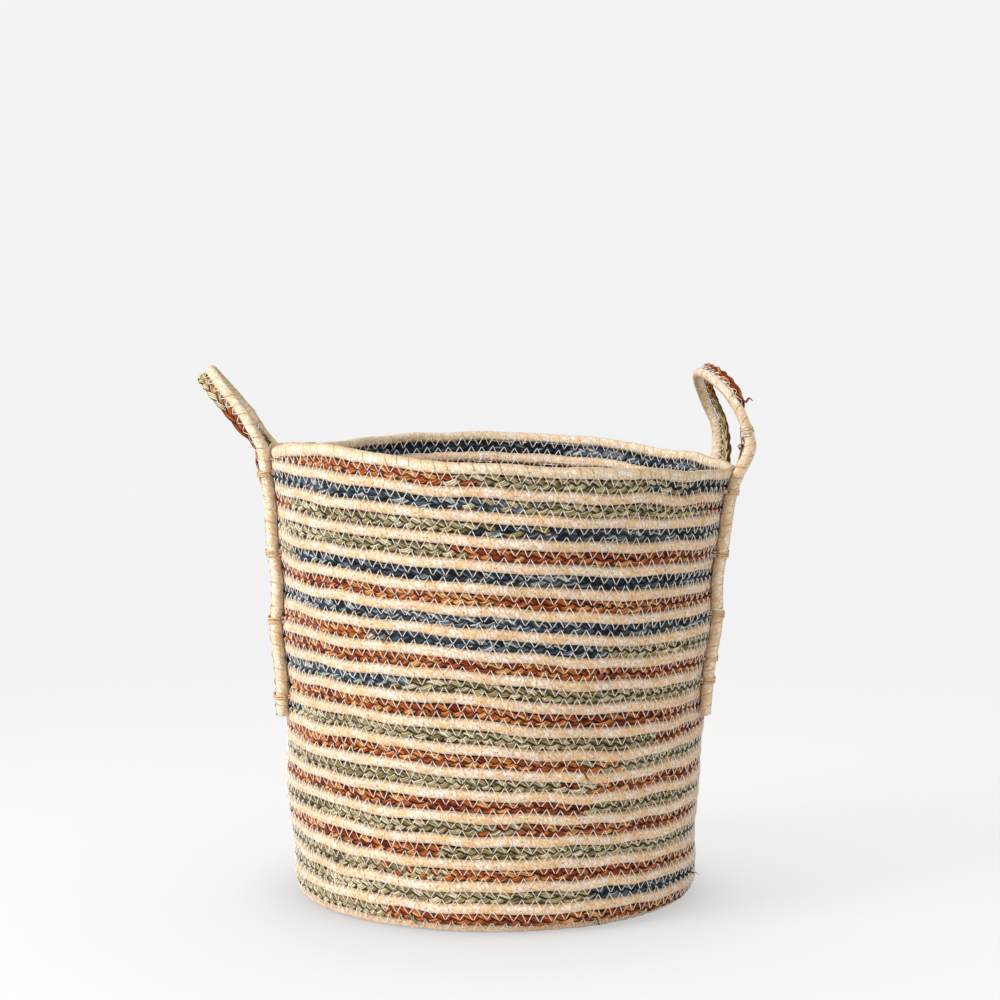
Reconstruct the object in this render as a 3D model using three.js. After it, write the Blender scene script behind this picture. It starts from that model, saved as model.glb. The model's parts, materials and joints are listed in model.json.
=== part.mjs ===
// A round storage basket, wound from one wrapped cord and one plait that lie side by side.
// Both start at a small knot in the middle of the base, spiral out flat, turn up at the foot and
// climb the wall to the rim. Two strap handles, each a cord beside a plait, are lashed to the wall.
// Millimetres, +Z up. The origin is the middle of the base, on the surface the basket stands on.
// The front is towards -Y, the handles are at -X and +X.
import * as THREE from "three";

// Courses: what one turn of the cord and one turn of the plait take up along the base and the wall.
const cordCourse = 8.5;
const plaitCourse = 8.5;
const courseGap = 0.45;
const endGap = 0.5;
const cordThickness = 8.4;
const plaitThickness = 6.8;

// Base and wall, measured on the middle of the wall's thickness.
const knotRadius = 4.3;
const knotGap = 0.3;
const footRadius = 154.8;
const footCornerRadius = 9;
const wallHeight = 346;
const wallSpread = 20;
const rimFlare = 6;
const rimFlarePower = 6;

// Hand-made unevenness of the wall: its belly and rim stand off the axis, its courses rise towards
// the left and towards the rear, more so higher up, and they dip a little at the handles.
const bellyShift = 2.3;
const rimShift = 7.4;
const leftRise = 8.4;
const rearRise = 8.7;
const handleDip = 1.6;
const unevenTo = 0.66;

// Where the winding starts and how its ends run out, in turns.
const startTurn = 0.25;
const firstTipWidth = 1.4;
const plaitTaperTurns = 1 / 24;
const plaitEndPastFront = 5 / 24;
const rimCordTaperTurns = 2 / 24;
const rimCordPastPlait = 3 / 24;
const spliceCoursesDown = 7;
const splicePastFront = 2 / 24;
const stepsPerTurn = 24;
const innerStepsPerTurn = 12;
const coarseWithinRadius = 70;

// Handles: a strap of one cord and one plait, lashed flat to the wall and free above the rim.
const handleCordRadius = 4.5;
const handlePlaitHalfWidth = 4;
const handlePlaitHalfThickness = 3;
const strapGap = 0.45;
const seatGap = 0.3;
const legSteps = 7;
const loopSteps = 44;
const ballRings = 2;
const strapSides = 8;

// Ties: twine bands over the straps. Their heights are counted from the lower end of the leg.
const tieWidth = 3.2;
const tieThickness = 1.5;
const tieGap = 0.35;

// Where the legs start, where the loops tip, how far the hinge line stands out from the legs'
// line along the wall, how far the free loops reach, how far they run straight before they arch,
// and where along them the strap starts its quarter twist and how long that takes.
const leftLegBottom = 142;
const leftHingeHeight = 357.5;
const leftFrontStandOff = 2.9;
const leftRearStandOff = 8.3;
const leftLoopRun = 68;
const leftLoopStraight = 0;
const leftTwistFrom = 0;
const leftTwistRun = 28;
const rightLegBottom = 152;
const rightHingeHeight = 354;
const rightFrontStandOff = 11.5;
const rightRearStandOff = 0.8;
const rightLoopRun = 65;
const rightLoopStraight = 22;
const rightTwistFrom = 9;
const rightTwistRun = 38;

// Each leg's way round the basket from the middle of its side, in turns, at its top and at its
// lower end, the lean of each loop at its hinge and its top, in degrees, outwards positive, and the
// ties of each leg from the lowest.
const leftHandle = {
  name: "left",
  side: -1,
  legBottom: leftLegBottom,
  hingeHeight: leftHingeHeight,
  loopRun: leftLoopRun,
  loopStraight: leftLoopStraight,
  twistFrom: leftTwistFrom,
  twistRun: leftTwistRun,
  lean: { atHinge: 42, atTop: 38 },
  front: {
    end: -1,
    turn: 0.88 / 24,
    lowerTurn: 1.2 / 24,
    standOff: leftFrontStandOff,
    ties: [15, 72, 122, 181],
  },
  rear: {
    end: 1,
    turn: 0.72 / 24,
    lowerTurn: 1 / 24,
    standOff: leftRearStandOff,
    ties: [15, 72, 122, 181],
  },
};
const rightHandle = {
  name: "right",
  side: 1,
  legBottom: rightLegBottom,
  hingeHeight: rightHingeHeight,
  loopRun: rightLoopRun,
  loopStraight: rightLoopStraight,
  twistFrom: rightTwistFrom,
  twistRun: rightTwistRun,
  lean: { atHinge: -4, atTop: -42 },
  front: {
    end: -1,
    turn: 1.17 / 24,
    lowerTurn: 1 / 24,
    standOff: rightFrontStandOff,
    ties: [27, 43, 78.5, 127, 174],
  },
  rear: {
    end: 1,
    turn: 1.44 / 24,
    lowerTurn: 1.4 / 24,
    standOff: rightRearStandOff,
    ties: [15, 70, 120, 170],
  },
};

// Colours as dried and dyed leaf.
const natural = new THREE.Color(0.83, 0.7, 0.5);
const rust = new THREE.Color(0.5, 0.16, 0.07);
const navy = new THREE.Color(0.1, 0.14, 0.2);
const sage = new THREE.Color(0.45, 0.42, 0.26);
const twine = new THREE.Color(0.62, 0.46, 0.27);

const pitch = cordCourse + plaitCourse;
const halfCord = cordThickness / 2;
const halfPlait = plaitThickness / 2;
const fullTurn = 2 * Math.PI;

const basket = new THREE.Group();

function leafMaterial(colour, roughness = 0.85) {
  return new THREE.MeshStandardMaterial({ color: colour, roughness, metalness: 0 });
}

function addPiece(name, geometry, colour) {
  const piece = new THREE.Mesh(geometry, leafMaterial(colour));
  piece.name = name;
  basket.add(piece);
  return piece;
}

function smooth(x) {
  const k = Math.min(1, Math.max(0, x));
  return k * k * (3 - 2 * k);
}

// The side line of the basket, by its run from the middle of the base: flat, round the corner, up.
const flatRun = footRadius - footCornerRadius;
const cornerRun = (footCornerRadius * Math.PI) / 2;
const wallStartHeight = halfCord + footCornerRadius;
const wallRise = wallHeight - wallStartHeight;
const wallTopRun = flatRun + cornerRun + wallRise;

function sideLine(run) {
  if (run <= flatRun) {
    return { radius: run, height: halfCord, outRadius: 0, outHeight: -1 };
  }
  if (run <= flatRun + cornerRun) {
    const bend = (run - flatRun) / footCornerRadius;
    return {
      radius: flatRun + footCornerRadius * Math.sin(bend),
      height: wallStartHeight - footCornerRadius * Math.cos(bend),
      outRadius: Math.sin(bend),
      outHeight: -Math.cos(bend),
    };
  }
  const share = (run - flatRun - cornerRun) / wallRise;
  const slope = (wallSpread + rimFlare * rimFlarePower * share ** (rimFlarePower - 1)) / wallRise;
  const length = Math.hypot(1, slope);
  return {
    radius: footRadius + wallSpread * share + rimFlare * share ** rimFlarePower,
    height: wallStartHeight + wallRise * share,
    outRadius: 1 / length,
    outHeight: -slope / length,
  };
}

// A point of the basket: its run along the side line, its angle from the front, seen from above
// towards the right, and how far it stands out from the middle of the wall.
function wallPoint(run, angle, out) {
  const line = sideLine(run);
  const share = Math.max(0, (line.height - wallStartHeight) / wallRise);
  const shift = rimShift * share ** 3 - bellyShift * Math.sin(Math.PI * share);
  const sideways = -leftRise * Math.sin(angle) - handleDip * (1 - Math.cos(2 * angle));
  const rise = sideways + rearRise * (1 - Math.cos(angle));
  const unevenness = smooth(share / unevenTo);
  const radius = line.radius + out * line.outRadius;
  return new THREE.Vector3(
    shift + radius * Math.sin(angle),
    -radius * Math.cos(angle),
    line.height + out * line.outHeight + unevenness * rise,
  );
}

function runAtHeight(height) {
  return flatRun + cornerRun + (height - wallStartHeight);
}

// The winding, by its turns from the knot. It climbs clockwise, seen from above.
const knotRun = knotRadius + knotGap - courseGap / 2;

function angleAtTurn(turn) {
  return fullTurn * (startTurn - turn);
}

// The last whole turn of plait whose cord above still fits under the wall's height.
const frontTurns = Math.floor((wallTopRun - knotRun - pitch) / pitch - startTurn) + startTurn;
const plaitEnd = frontTurns + plaitEndPastFront;
const rimCordEnd = plaitEnd + 1 + rimCordPastPlait;

// How much of its full width the plait still has near its end, under the rim. It ends in a narrow
// tip, and the cord over it comes down past the tip within one step.
const plaitTipShare = (firstTipWidth + courseGap) / plaitCourse;

function plaitShare(turn) {
  const left = (plaitEnd - turn) / plaitTaperTurns;
  if (left >= 0) return Math.min(1, plaitTipShare + (1 - plaitTipShare) * left);
  return plaitTipShare * Math.max(0, 1 + left * plaitTaperTurns * stepsPerTurn);
}

function cordEdges(turn) {
  const start = knotRun + pitch * turn;
  const lower = start - plaitCourse * (1 - plaitShare(turn - 1));
  const left = Math.min(1, Math.max(0, (rimCordEnd - turn) / rimCordTaperTurns));
  return [Math.max(knotRun, lower), lower + cordCourse * left];
}

function plaitEdges(turn) {
  const start = knotRun + pitch * turn + cordCourse;
  return [Math.max(knotRun, start), start + plaitCourse * plaitShare(turn)];
}

// Sections, as [share of the half width, share of the half thickness]. A course in the wall has
// flat sides towards its neighbours, and one in the base has its flats up and down.
const wallCordSection = [[-1, -0.5], [0, -1], [1, -0.5], [1, 0.5], [0, 1], [-1, 0.5]];
const baseCordSection = [[-1, 0], [-0.5, -1], [0.5, -1], [1, 0], [0.5, 1], [-0.5, 1]];
const plaitSection = [[-1, -1], [1, -1], [1, 1], [-1, 1]];

function signedVolume(points, faces) {
  const normal = new THREE.Vector3();
  return faces.reduce(
    (sum, [a, b, c]) => sum + points[a].dot(normal.crossVectors(points[b], points[c])) / 6,
    0,
  );
}

// One closed body through rings of points, closed by a flat or by a point at each end.
function bodyThroughRings(rings, firstTip, lastTip) {
  const points = rings.flat();
  const sides = rings[0].length;
  const faces = [];
  for (let i = 0; i + 1 < rings.length; i += 1) {
    for (let k = 0; k < sides; k += 1) {
      const a = i * sides + k;
      const b = i * sides + ((k + 1) % sides);
      faces.push([a, b, b + sides], [a, b + sides, a + sides]);
    }
  }
  const last = (rings.length - 1) * sides;
  if (firstTip) {
    points.push(firstTip);
    const tip = points.length - 1;
    for (let k = 0; k < sides; k += 1) faces.push([(k + 1) % sides, k, tip]);
  } else {
    for (let k = 1; k + 1 < sides; k += 1) faces.push([0, k + 1, k]);
  }
  if (lastTip) {
    points.push(lastTip);
    const tip = points.length - 1;
    for (let k = 0; k < sides; k += 1) faces.push([last + k, last + ((k + 1) % sides), tip]);
  } else {
    for (let k = 1; k + 1 < sides; k += 1) faces.push([last, last + k, last + k + 1]);
  }
  if (signedVolume(points, faces) < 0) faces.forEach((face) => face.reverse());
  const geometry = new THREE.BufferGeometry();
  const positions = points.flatMap((point) => point.toArray());
  geometry.setAttribute("position", new THREE.Float32BufferAttribute(positions, 3));
  geometry.setIndex(faces.flat());
  geometry.computeVertexNormals();
  return geometry;
}

// The turns at which a stretch of winding has its rings: its two ends, and the grid between them.
function ringTurns(from, to) {
  const turns = [from];
  const first = Math.ceil(from * stepsPerTurn + 1e-6);
  const coarse = stepsPerTurn / innerStepsPerTurn;
  for (let step = first; step < to * stepsPerTurn - 1e-6; step += 1) {
    const turn = step / stepsPerTurn;
    const fine = knotRun + pitch * turn > coarseWithinRadius;
    if (fine || step % coarse === 0) turns.push(turn);
  }
  turns.push(to);
  return turns;
}

// The least distance between points of a coil that are more than half a turn apart.
function leastSelfGap(turns, rings) {
  let least = Infinity;
  turns.forEach((turn, i) => {
    for (let j = i + 1; j < turns.length; j += 1) {
      const near = turns[j] - turn > 0.5 && turns[j] - turn < 1.5;
      if (near) {
        for (const a of rings[i]) for (const b of rings[j]) least = Math.min(least, a.distanceTo(b));
      }
    }
  });
  return least;
}

// A stretch of cord or plait between two turns, with its butt ends drawn in by the end gap.
function winding(name, edgesAt, section, halfThickness, from, to) {
  const shorten = (turn) => endGap / 2 / (fullTurn * Math.max(knotRadius, edgesAt(turn)[0]));
  const turns = ringTurns(from + shorten(from), to - shorten(to));
  const rings = turns.map((turn) => {
    const [lower, upper] = edgesAt(turn);
    const halfWidth = Math.max(firstTipWidth / 2, (upper - lower - courseGap) / 2);
    const middle = lower + courseGap / 2 + halfWidth;
    const fullness = Math.min(1, 0.45 + (0.55 * 2 * halfWidth) / cordCourse + 0.03);
    return section.map(([across, out]) =>
      wallPoint(middle + across * halfWidth, angleAtTurn(turn), out * halfThickness * fullness),
    );
  });
  console.log(`${name}: least gap to itself ${leastSelfGap(turns, rings).toFixed(2)} mm`);
  return bodyThroughRings(rings);
}

// Where the winding leaves the flat of the base, to the last half turn.
const cordBaseEnd = Math.floor((2 * (flatRun - knotRun)) / pitch) / 2;
const plaitBaseEnd = cordBaseEnd - 0.5;
const rimCordStart = rimCordEnd - 1;

// Where one length of the wall's plait is butted to the next.
const spliceTurn = frontTurns - spliceCoursesDown + splicePastFront;

function addCoil(name, colour, edgesAt, section, halfThickness, from, to) {
  addPiece(name, winding(name, edgesAt, section, halfThickness, from, to), colour);
}

function addBase() {
  const profile = [
    new THREE.Vector2(0, 0),
    new THREE.Vector2(knotRadius - 1, 0),
    new THREE.Vector2(knotRadius, 1),
    new THREE.Vector2(knotRadius, cordThickness - 1),
    new THREE.Vector2(knotRadius - 1, cordThickness),
    new THREE.Vector2(0, cordThickness),
  ];
  const knot = new THREE.LatheGeometry(profile, innerStepsPerTurn).rotateX(Math.PI / 2);
  addPiece("base_centre_knot", knot, natural);

  const tip = (firstTipWidth + courseGap) / pitch;
  const cordTip = -cordCourse / pitch + tip;
  const plaitTip = -1 + tip;
  addCoil("base_cord", natural, cordEdges, baseCordSection, halfCord, cordTip, cordBaseEnd);
  addCoil("base_plait", sage, plaitEdges, plaitSection, halfPlait, plaitTip, plaitBaseEnd);
}

function addWall() {
  addCoil("wall_cord", natural, cordEdges, wallCordSection, halfCord, cordBaseEnd, rimCordStart);
  addCoil("rim_cord", natural, cordEdges, wallCordSection, halfCord, rimCordStart, rimCordEnd);
  addCoil("wall_plait_lower", rust, plaitEdges, plaitSection, halfPlait, plaitBaseEnd, spliceTurn);
  addCoil("wall_plait_upper", navy, plaitEdges, plaitSection, halfPlait, spliceTurn, plaitEnd);
}

// The two plies of a strap, as how far each lies from the strap's middle towards its cord side.
const strapPlies = [
  {
    name: "cord",
    colour: natural,
    offset: handlePlaitHalfWidth + strapGap / 2,
    halfWidth: handleCordRadius,
    halfThickness: handleCordRadius,
  },
  {
    name: "plait",
    colour: rust,
    offset: -handleCordRadius - strapGap / 2,
    halfWidth: handlePlaitHalfWidth,
    halfThickness: handlePlaitHalfThickness,
  },
];

// One ring of a strap's ply, round its middle, in the plane of its width and thickness. Its flats
// stand at the half width and the half thickness.
function strapRing(middle, across, through, halfWidth, halfThickness) {
  const ring = [];
  const corner = 1 / Math.cos(Math.PI / strapSides);
  for (let k = 0; k < strapSides; k += 1) {
    const turn = (fullTurn * (k + 0.5)) / strapSides;
    ring.push(
      middle
        .clone()
        .addScaledVector(across, halfWidth * corner * Math.cos(turn))
        .addScaledVector(through, halfThickness * corner * Math.sin(turn)),
    );
  }
  return ring;
}

// How far the middle of a strap lies from the middle of the wall when it is lashed to it.
const strapOut = halfCord + seatGap + handleCordRadius;

// The bearing of a leg at a height: it may stand further from the side at its lower end.
const legTopHeight = wallHeight - cordCourse;

function legAngle(handle, leg, height) {
  const climbed = (height - handle.legBottom) / (legTopHeight - handle.legBottom);
  const turn = leg.lowerTurn + (leg.turn - leg.lowerTurn) * climbed;
  return (handle.side * Math.PI) / 2 + handle.side * leg.end * fullTurn * turn;
}

// A point of a lashed leg, by height.
function legFrame(handle, leg, height) {
  const run = runAtHeight(height);
  const angle = legAngle(handle, leg, height);
  const middle = wallPoint(run, angle, strapOut);
  const away = wallPoint(run, angle, strapOut + 1).sub(middle).normalize();
  const up = wallPoint(run + 1, angle, strapOut).sub(middle).normalize();
  const across = new THREE.Vector3().crossVectors(up, away).normalize();
  if (across.y * leg.end < 0) across.negate();
  return { middle, across, away, up };
}

// Where a leg meets the line that its handle's loop tips about.
function hingePoint(handle, leg) {
  const angle = legAngle(handle, leg, legTopHeight);
  const point = wallPoint(runAtHeight(legTopHeight), angle, strapOut + leg.standOff);
  return point.setZ(handle.hingeHeight);
}

// The hinge line: its middle, its half length, its way from front to rear and its way outwards.
function hingeLine(handle) {
  const front = hingePoint(handle, handle.front);
  const rear = hingePoint(handle, handle.rear);
  const along = rear.clone().sub(front);
  const halfSpan = along.length() / 2;
  along.normalize();
  const outwards = new THREE.Vector3(along.y, -along.x, 0).multiplyScalar(handle.side);
  return { middle: front.add(rear).divideScalar(2), halfSpan, along, outwards };
}

// A ply of a lashed leg: up the wall, then over to its place just below the hinge line.
function legPly(handle, leg, ply) {
  const { along, outwards } = hingeLine(handle);
  const rings = [];
  for (let i = 0; i <= legSteps; i += 1) {
    const height = handle.legBottom + ((legTopHeight - handle.legBottom) * i) / legSteps;
    const { middle, across, away } = legFrame(handle, leg, height);
    middle.addScaledVector(across, ply.offset);
    rings.push(strapRing(middle, across, away, ply.halfWidth, ply.halfThickness));
  }
  const across = along.clone().multiplyScalar(leg.end);
  const top = hingePoint(handle, leg).addScaledVector(across, ply.offset);
  top.z -= ply.halfThickness + seatGap;
  rings.push(strapRing(top, across, outwards, ply.halfWidth, ply.halfThickness));
  return bodyThroughRings(rings);
}

// The middle line of a handle's loop. From each hinge it runs straight, then round a half ellipse,
// in a sheet that leans by an angle that changes evenly from the hinge to the top.
function loopFrame(handle, share) {
  const { middle, halfSpan, along, outwards } = hingeLine(handle);
  const { loopStraight, twistFrom, twistRun } = handle;
  const archRise = handle.loopRun - loopStraight;
  const archRun = (Math.PI / 2) * Math.sqrt((halfSpan ** 2 + archRise ** 2) / 2);
  const half = loopStraight + archRun;
  const gone = share * 2 * half;
  const fromHinge = Math.min(gone, 2 * half - gone);
  const end = gone < half ? -1 : 1;
  const arch = (Math.PI / 2) * Math.max(0, (fromHinge - loopStraight) / archRun);
  const climb = Math.min(fromHinge, loopStraight) + archRise * Math.sin(arch);
  const from = THREE.MathUtils.degToRad(handle.lean.atHinge);
  const to = THREE.MathUtils.degToRad(handle.lean.atTop);
  const tilt = from + ((to - from) * climb) / handle.loopRun;
  const bend = (to - from) / handle.loopRun;
  middle.addScaledVector(along, end * halfSpan * Math.cos(arch));
  middle.addScaledVector(outwards, (Math.cos(from) - Math.cos(tilt)) / bend);
  middle.z += (Math.sin(tilt) - Math.sin(from)) / bend;
  const upSheet = outwards.clone().multiplyScalar(Math.sin(tilt)).setZ(Math.cos(tilt));
  const inwards = outwards.clone().multiplyScalar(-Math.cos(tilt)).setZ(Math.sin(tilt));
  const outOfLoop = along.clone().multiplyScalar(end);
  if (arch > 0) {
    outOfLoop.multiplyScalar(archRise * Math.cos(arch));
    outOfLoop.addScaledVector(upSheet, halfSpan * Math.sin(arch)).normalize();
  }
  const twist = (Math.PI / 2) * smooth((fromHinge - twistFrom) / twistRun);
  const across = outOfLoop.clone().multiplyScalar(Math.cos(twist));
  across.addScaledVector(inwards, Math.sin(twist));
  return { middle, across, outOfLoop, inwards, upSheet, twist };
}

// A ply of a handle's loop, with a ball at each end whose middle is on the hinge line.
function loopPly(handle, ply) {
  const rings = [];
  for (let i = 0; i <= loopSteps; i += 1) {
    const { middle, across, outOfLoop, inwards, twist } = loopFrame(handle, i / loopSteps);
    const through = inwards.clone().multiplyScalar(Math.cos(twist));
    through.addScaledVector(outOfLoop, -Math.sin(twist));
    middle.addScaledVector(across, ply.offset);
    rings.push(strapRing(middle, across, through, ply.halfWidth, ply.halfThickness));
  }
  const tips = [0, 1].map((share) => {
    const { middle, across, inwards, upSheet } = loopFrame(handle, share);
    middle.addScaledVector(across, ply.offset);
    const cap = [];
    for (let k = 1; k <= ballRings; k += 1) {
      const turn = ((Math.PI / 2) * k) / (ballRings + 1);
      const centre = middle.clone().addScaledVector(upSheet, -ply.halfThickness * Math.sin(turn));
      const shrink = Math.cos(turn);
      cap.push(
        strapRing(centre, across, inwards, ply.halfWidth * shrink, ply.halfThickness * shrink),
      );
    }
    return { cap, tip: middle.clone().addScaledVector(upSheet, -ply.halfThickness) };
  });
  rings.unshift(...tips[0].cap.reverse());
  rings.push(...tips[1].cap.map((ring) => matchRing(ring, rings[rings.length - 1])));
  return bodyThroughRings(rings, tips[0].tip, tips[1].tip);
}

// The same ring, started and turned so that its points follow those of the ring before it.
function matchRing(ring, before) {
  let best = ring;
  let least = Infinity;
  for (const way of [ring, [...ring].reverse()]) {
    for (let start = 0; start < way.length; start += 1) {
      const tried = [...way.slice(start), ...way.slice(0, start)];
      const apart = tried.reduce((sum, point, k) => sum + point.distanceToSquared(before[k]), 0);
      if (apart < least) {
        least = apart;
        best = tried;
      }
    }
  }
  return best;
}

// A twine band over both plies of a lashed leg, from the wall on one side to the wall on the other,
// with its corners cut like those of the strap.
function tieBand(handle, leg, height) {
  const { middle, across, away, up } = legFrame(handle, leg, height);
  const span = handleCordRadius + handlePlaitHalfWidth + strapGap / 2 + tieGap;
  const top = handleCordRadius + tieGap;
  const cut = top * (1 - Math.tan(Math.PI / strapSides));
  const grown = tieThickness * (1 - Math.tan(Math.PI / strapSides));
  const foot = -handleCordRadius;
  const halfPath = [[foot, 0, 0], [top, -1, 0], [top, 0, -1]];
  const rings = [];
  for (const half of [-1, 1]) {
    const order = half < 0 ? halfPath : [...halfPath].reverse();
    for (const [base, down, inwards] of order) {
      const ring = [];
      for (const [along, thick] of [[-1, 0], [1, 0], [1, 1], [-1, 1]]) {
        const corner = cut + thick * grown;
        const sideways = half * (span + thick * tieThickness + inwards * corner);
        const rise = base + (base > 0 ? thick * tieThickness : 0) + down * corner;
        ring.push(
          middle
            .clone()
            .addScaledVector(across, sideways)
            .addScaledVector(away, rise)
            .addScaledVector(up, (along * tieWidth) / 2),
        );
      }
      rings.push(ring);
    }
  }
  return bodyThroughRings(rings);
}

function addHandle(handle) {
  const { middle, along } = hingeLine(handle);
  console.log(`${handle.name} hinge line through ${middle.toArray()}, along ${along.toArray()}`);
  const legs = { front: handle.front, rear: handle.rear };
  for (const ply of strapPlies) {
    for (const [place, leg] of Object.entries(legs)) {
      addPiece(`${handle.name}_${place}_leg_${ply.name}`, legPly(handle, leg, ply), ply.colour);
    }
    addPiece(`${handle.name}_loop_${ply.name}`, loopPly(handle, ply), ply.colour);
  }
  for (const [place, leg] of Object.entries(legs)) {
    leg.ties.forEach((rise, i) => {
      const band = tieBand(handle, leg, handle.legBottom + rise);
      addPiece(`${handle.name}_${place}_tie_${i + 1}`, band, twine);
    });
  }
}

addBase();
addWall();
addHandle(leftHandle);
addHandle(rightHandle);

export default basket;
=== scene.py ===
"""A round storage basket wound from husk cord and plait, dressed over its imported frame.

One wrapped husk cord and one three-strand plait lie side by side in a coil that starts in the
middle of the base, turns up at the foot and climbs the wall to the rim. White thread zigzags over
every seam. Two strap handles, each a cord beside a plait, are lashed to the wall with twine.
Lengths are metres, +Z is up, the front faces -Y, and the handles stand at -X and +X.
"""

import json
import logging
import math
from collections.abc import Callable
from dataclasses import dataclass, field
from enum import Enum

import bpy
import numpy as np
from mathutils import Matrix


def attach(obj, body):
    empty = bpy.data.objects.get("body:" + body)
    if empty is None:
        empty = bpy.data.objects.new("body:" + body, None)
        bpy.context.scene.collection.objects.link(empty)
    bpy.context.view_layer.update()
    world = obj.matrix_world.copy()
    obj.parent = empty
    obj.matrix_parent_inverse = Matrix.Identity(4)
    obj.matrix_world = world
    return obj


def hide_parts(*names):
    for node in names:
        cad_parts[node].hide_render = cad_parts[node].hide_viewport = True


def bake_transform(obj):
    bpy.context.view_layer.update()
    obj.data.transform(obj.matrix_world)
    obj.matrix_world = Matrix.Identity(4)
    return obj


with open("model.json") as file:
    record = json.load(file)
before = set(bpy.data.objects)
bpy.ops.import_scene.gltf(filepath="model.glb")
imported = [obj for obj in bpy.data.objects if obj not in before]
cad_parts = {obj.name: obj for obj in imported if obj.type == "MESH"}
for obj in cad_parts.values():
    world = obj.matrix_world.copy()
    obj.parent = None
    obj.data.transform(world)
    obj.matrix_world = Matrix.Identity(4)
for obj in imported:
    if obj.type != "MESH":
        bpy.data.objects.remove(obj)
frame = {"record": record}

LOG = logging.getLogger("basket")
MM = 0.001
TURN = 2 * math.pi
TINY = 1e-6
UP = np.array([0.0, 0.0, 1.0])
SEED = 20

Array = np.ndarray
Material = bpy.types.Material
NodeTree = bpy.types.NodeTree
Node = bpy.types.Node
Socket = bpy.types.NodeSocket
Stops = tuple[tuple[float, tuple[float, ...]], ...]
Edges = Callable[[Array], tuple[Array, Array]]
Place = Callable[[Array, Array, Array], tuple[Array, Array]]


class Side(Enum):
    """Which side of the basket a handle is on, as the sign of its X."""

    LEFT = -1
    RIGHT = 1


class Dye(Enum):
    """A dye of the plaits, as its row of weights in the dye attribute."""

    RUST = (1.0, 0.0, 0.0)
    NAVY = (0.0, 1.0, 0.0)
    SAGE = (0.0, 0.0, 1.0)
    STRAW = (0.0, 0.0, 0.0)

    @property
    def slot(self) -> str:
        """The record's slot of its finish."""
        return "natural_leaf" if self is Dye.STRAW else f"{self.name.lower()}_leaf"


DYE_OF_LETTER = {"r": Dye.RUST, "n": Dye.NAVY, "s": Dye.SAGE, "c": Dye.STRAW}


def smooth(x: Array) -> Array:
    """Ease from 0 to 1 as x goes from 0 to 1."""
    k = np.clip(x, 0.0, 1.0)
    return k * k * (3 - 2 * k)


def unit(vectors: Array) -> Array:
    """Scale each row to length 1."""
    length = np.linalg.norm(vectors, axis=-1, keepdims=True)
    return vectors / np.maximum(length, 1e-12)


def headings(points: Array, along: Array | None = None) -> Array:
    """Give the direction of a line at each of its points."""
    return unit(np.gradient(points, axis=0) if along is None else np.gradient(points, along, axis=0))


def lengths_to(points: Array) -> Array:
    """Give how far along a line each of its points lies."""
    return np.concatenate([[0], np.cumsum(np.linalg.norm(np.diff(points, axis=0), axis=1))])


def rows_at(at: Array, along: Array, rows: Array) -> Array:
    """Give the rows of a line, which lie at the places along it, at other places."""
    return np.stack([np.interp(at, along, column) for column in rows.T], axis=-1)


def above_floor(points: Array, lowest: float = 0.0) -> Array:
    """Lift points that lie under a height up to it, in place, and give them."""
    points[..., 2] = np.maximum(points[..., 2], lowest)
    return points


@dataclass(frozen=True)
class Wander:
    """A smooth random value along a line, made of a few sines."""

    seed: int
    reach: float
    shortest: float
    longest: float
    waves: int = 7

    def at(self, along: Array) -> Array:
        """Give the value at each place along the line.

        Args:
            along: the places, in the unit of the waves' lengths.

        Returns:
            The sum of the sines there, each with a random length and phase.
        """
        rng = np.random.default_rng(self.seed)
        total = np.zeros_like(along, dtype=float)
        for _ in range(self.waves):
            length = math.exp(rng.uniform(math.log(self.shortest), math.log(self.longest)))
            total += np.sin(TURN * (along / length + rng.random()))
        return total * self.reach / math.sqrt(self.waves)


@dataclass(frozen=True)
class Waver:
    """A place where the hand-laid courses lie above or below an even coil.

    Args:
        lift: how far above it they lie in the middle of the place.
        share: the middle's height on the wall, from 0 at its foot to 1 at the rim.
        tall: how far up and down the place reaches, as a share of the wall.
        wide: how far round it reaches, in degrees.
    """

    lift: float
    share: float
    bearing: float
    tall: float
    wide: float

    def at(self, share: Array, angle: Array) -> Array:
        """Give its lift, as a bell that fades away from its middle."""
        up = (share - self.share) / self.tall
        past = (np.degrees(angle) - self.bearing + 180) % 360 - 180
        return self.lift * np.exp(-(up**2) - (past / self.wide) ** 2)


FOOT_FADE = 1 / 30
WAVERS = (
    Waver(2.2 * MM, 1.0, -48, 0.11, 30),
    Waver(2.6 * MM, 1.0, 30, 0.09, 22),
    Waver(-4.0 * MM, 1.02, -120, 0.14, 32),
    Waver(-1.8 * MM, 1.0, 108, 0.09, 28),
    Waver(1.8 * MM, 1.0, 178, 0.09, 26),
    Waver(-3.3 * MM, 0.70, -80, 0.15, 36),
    Waver(-3.2 * MM, 0.48, -74, 0.11, 26),
    Waver(-1.8 * MM, 0.77, -26, 0.08, 26),
    Waver(-2.3 * MM, 0.68, 34, 0.16, 28),
    Waver(2.6 * MM, 0.54, -8, 0.09, 20),
    Waver(-4.6 * MM, 0.37, 31, 0.11, 24),
    Waver(-2.0 * MM, 0.45, 72, 0.08, 20),
    Waver(-1.3 * MM, 0.20, 46, 0.08, 18),
    Waver(2.0 * MM, 0.11, -66, 0.08, 24),
    Waver(-1.9 * MM, 0.11, -18, 0.08, 20),
    Waver(-1.6 * MM, 0.10, 68, 0.08, 22),
)


def hand_lift(share: Array, angle: Array) -> Array:
    """Give how far the courses wander up from an even coil."""
    lift = sum(waver.at(share, angle) for waver in WAVERS)
    return lift * smooth(np.maximum(share, 0) / FOOT_FADE)


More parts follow.
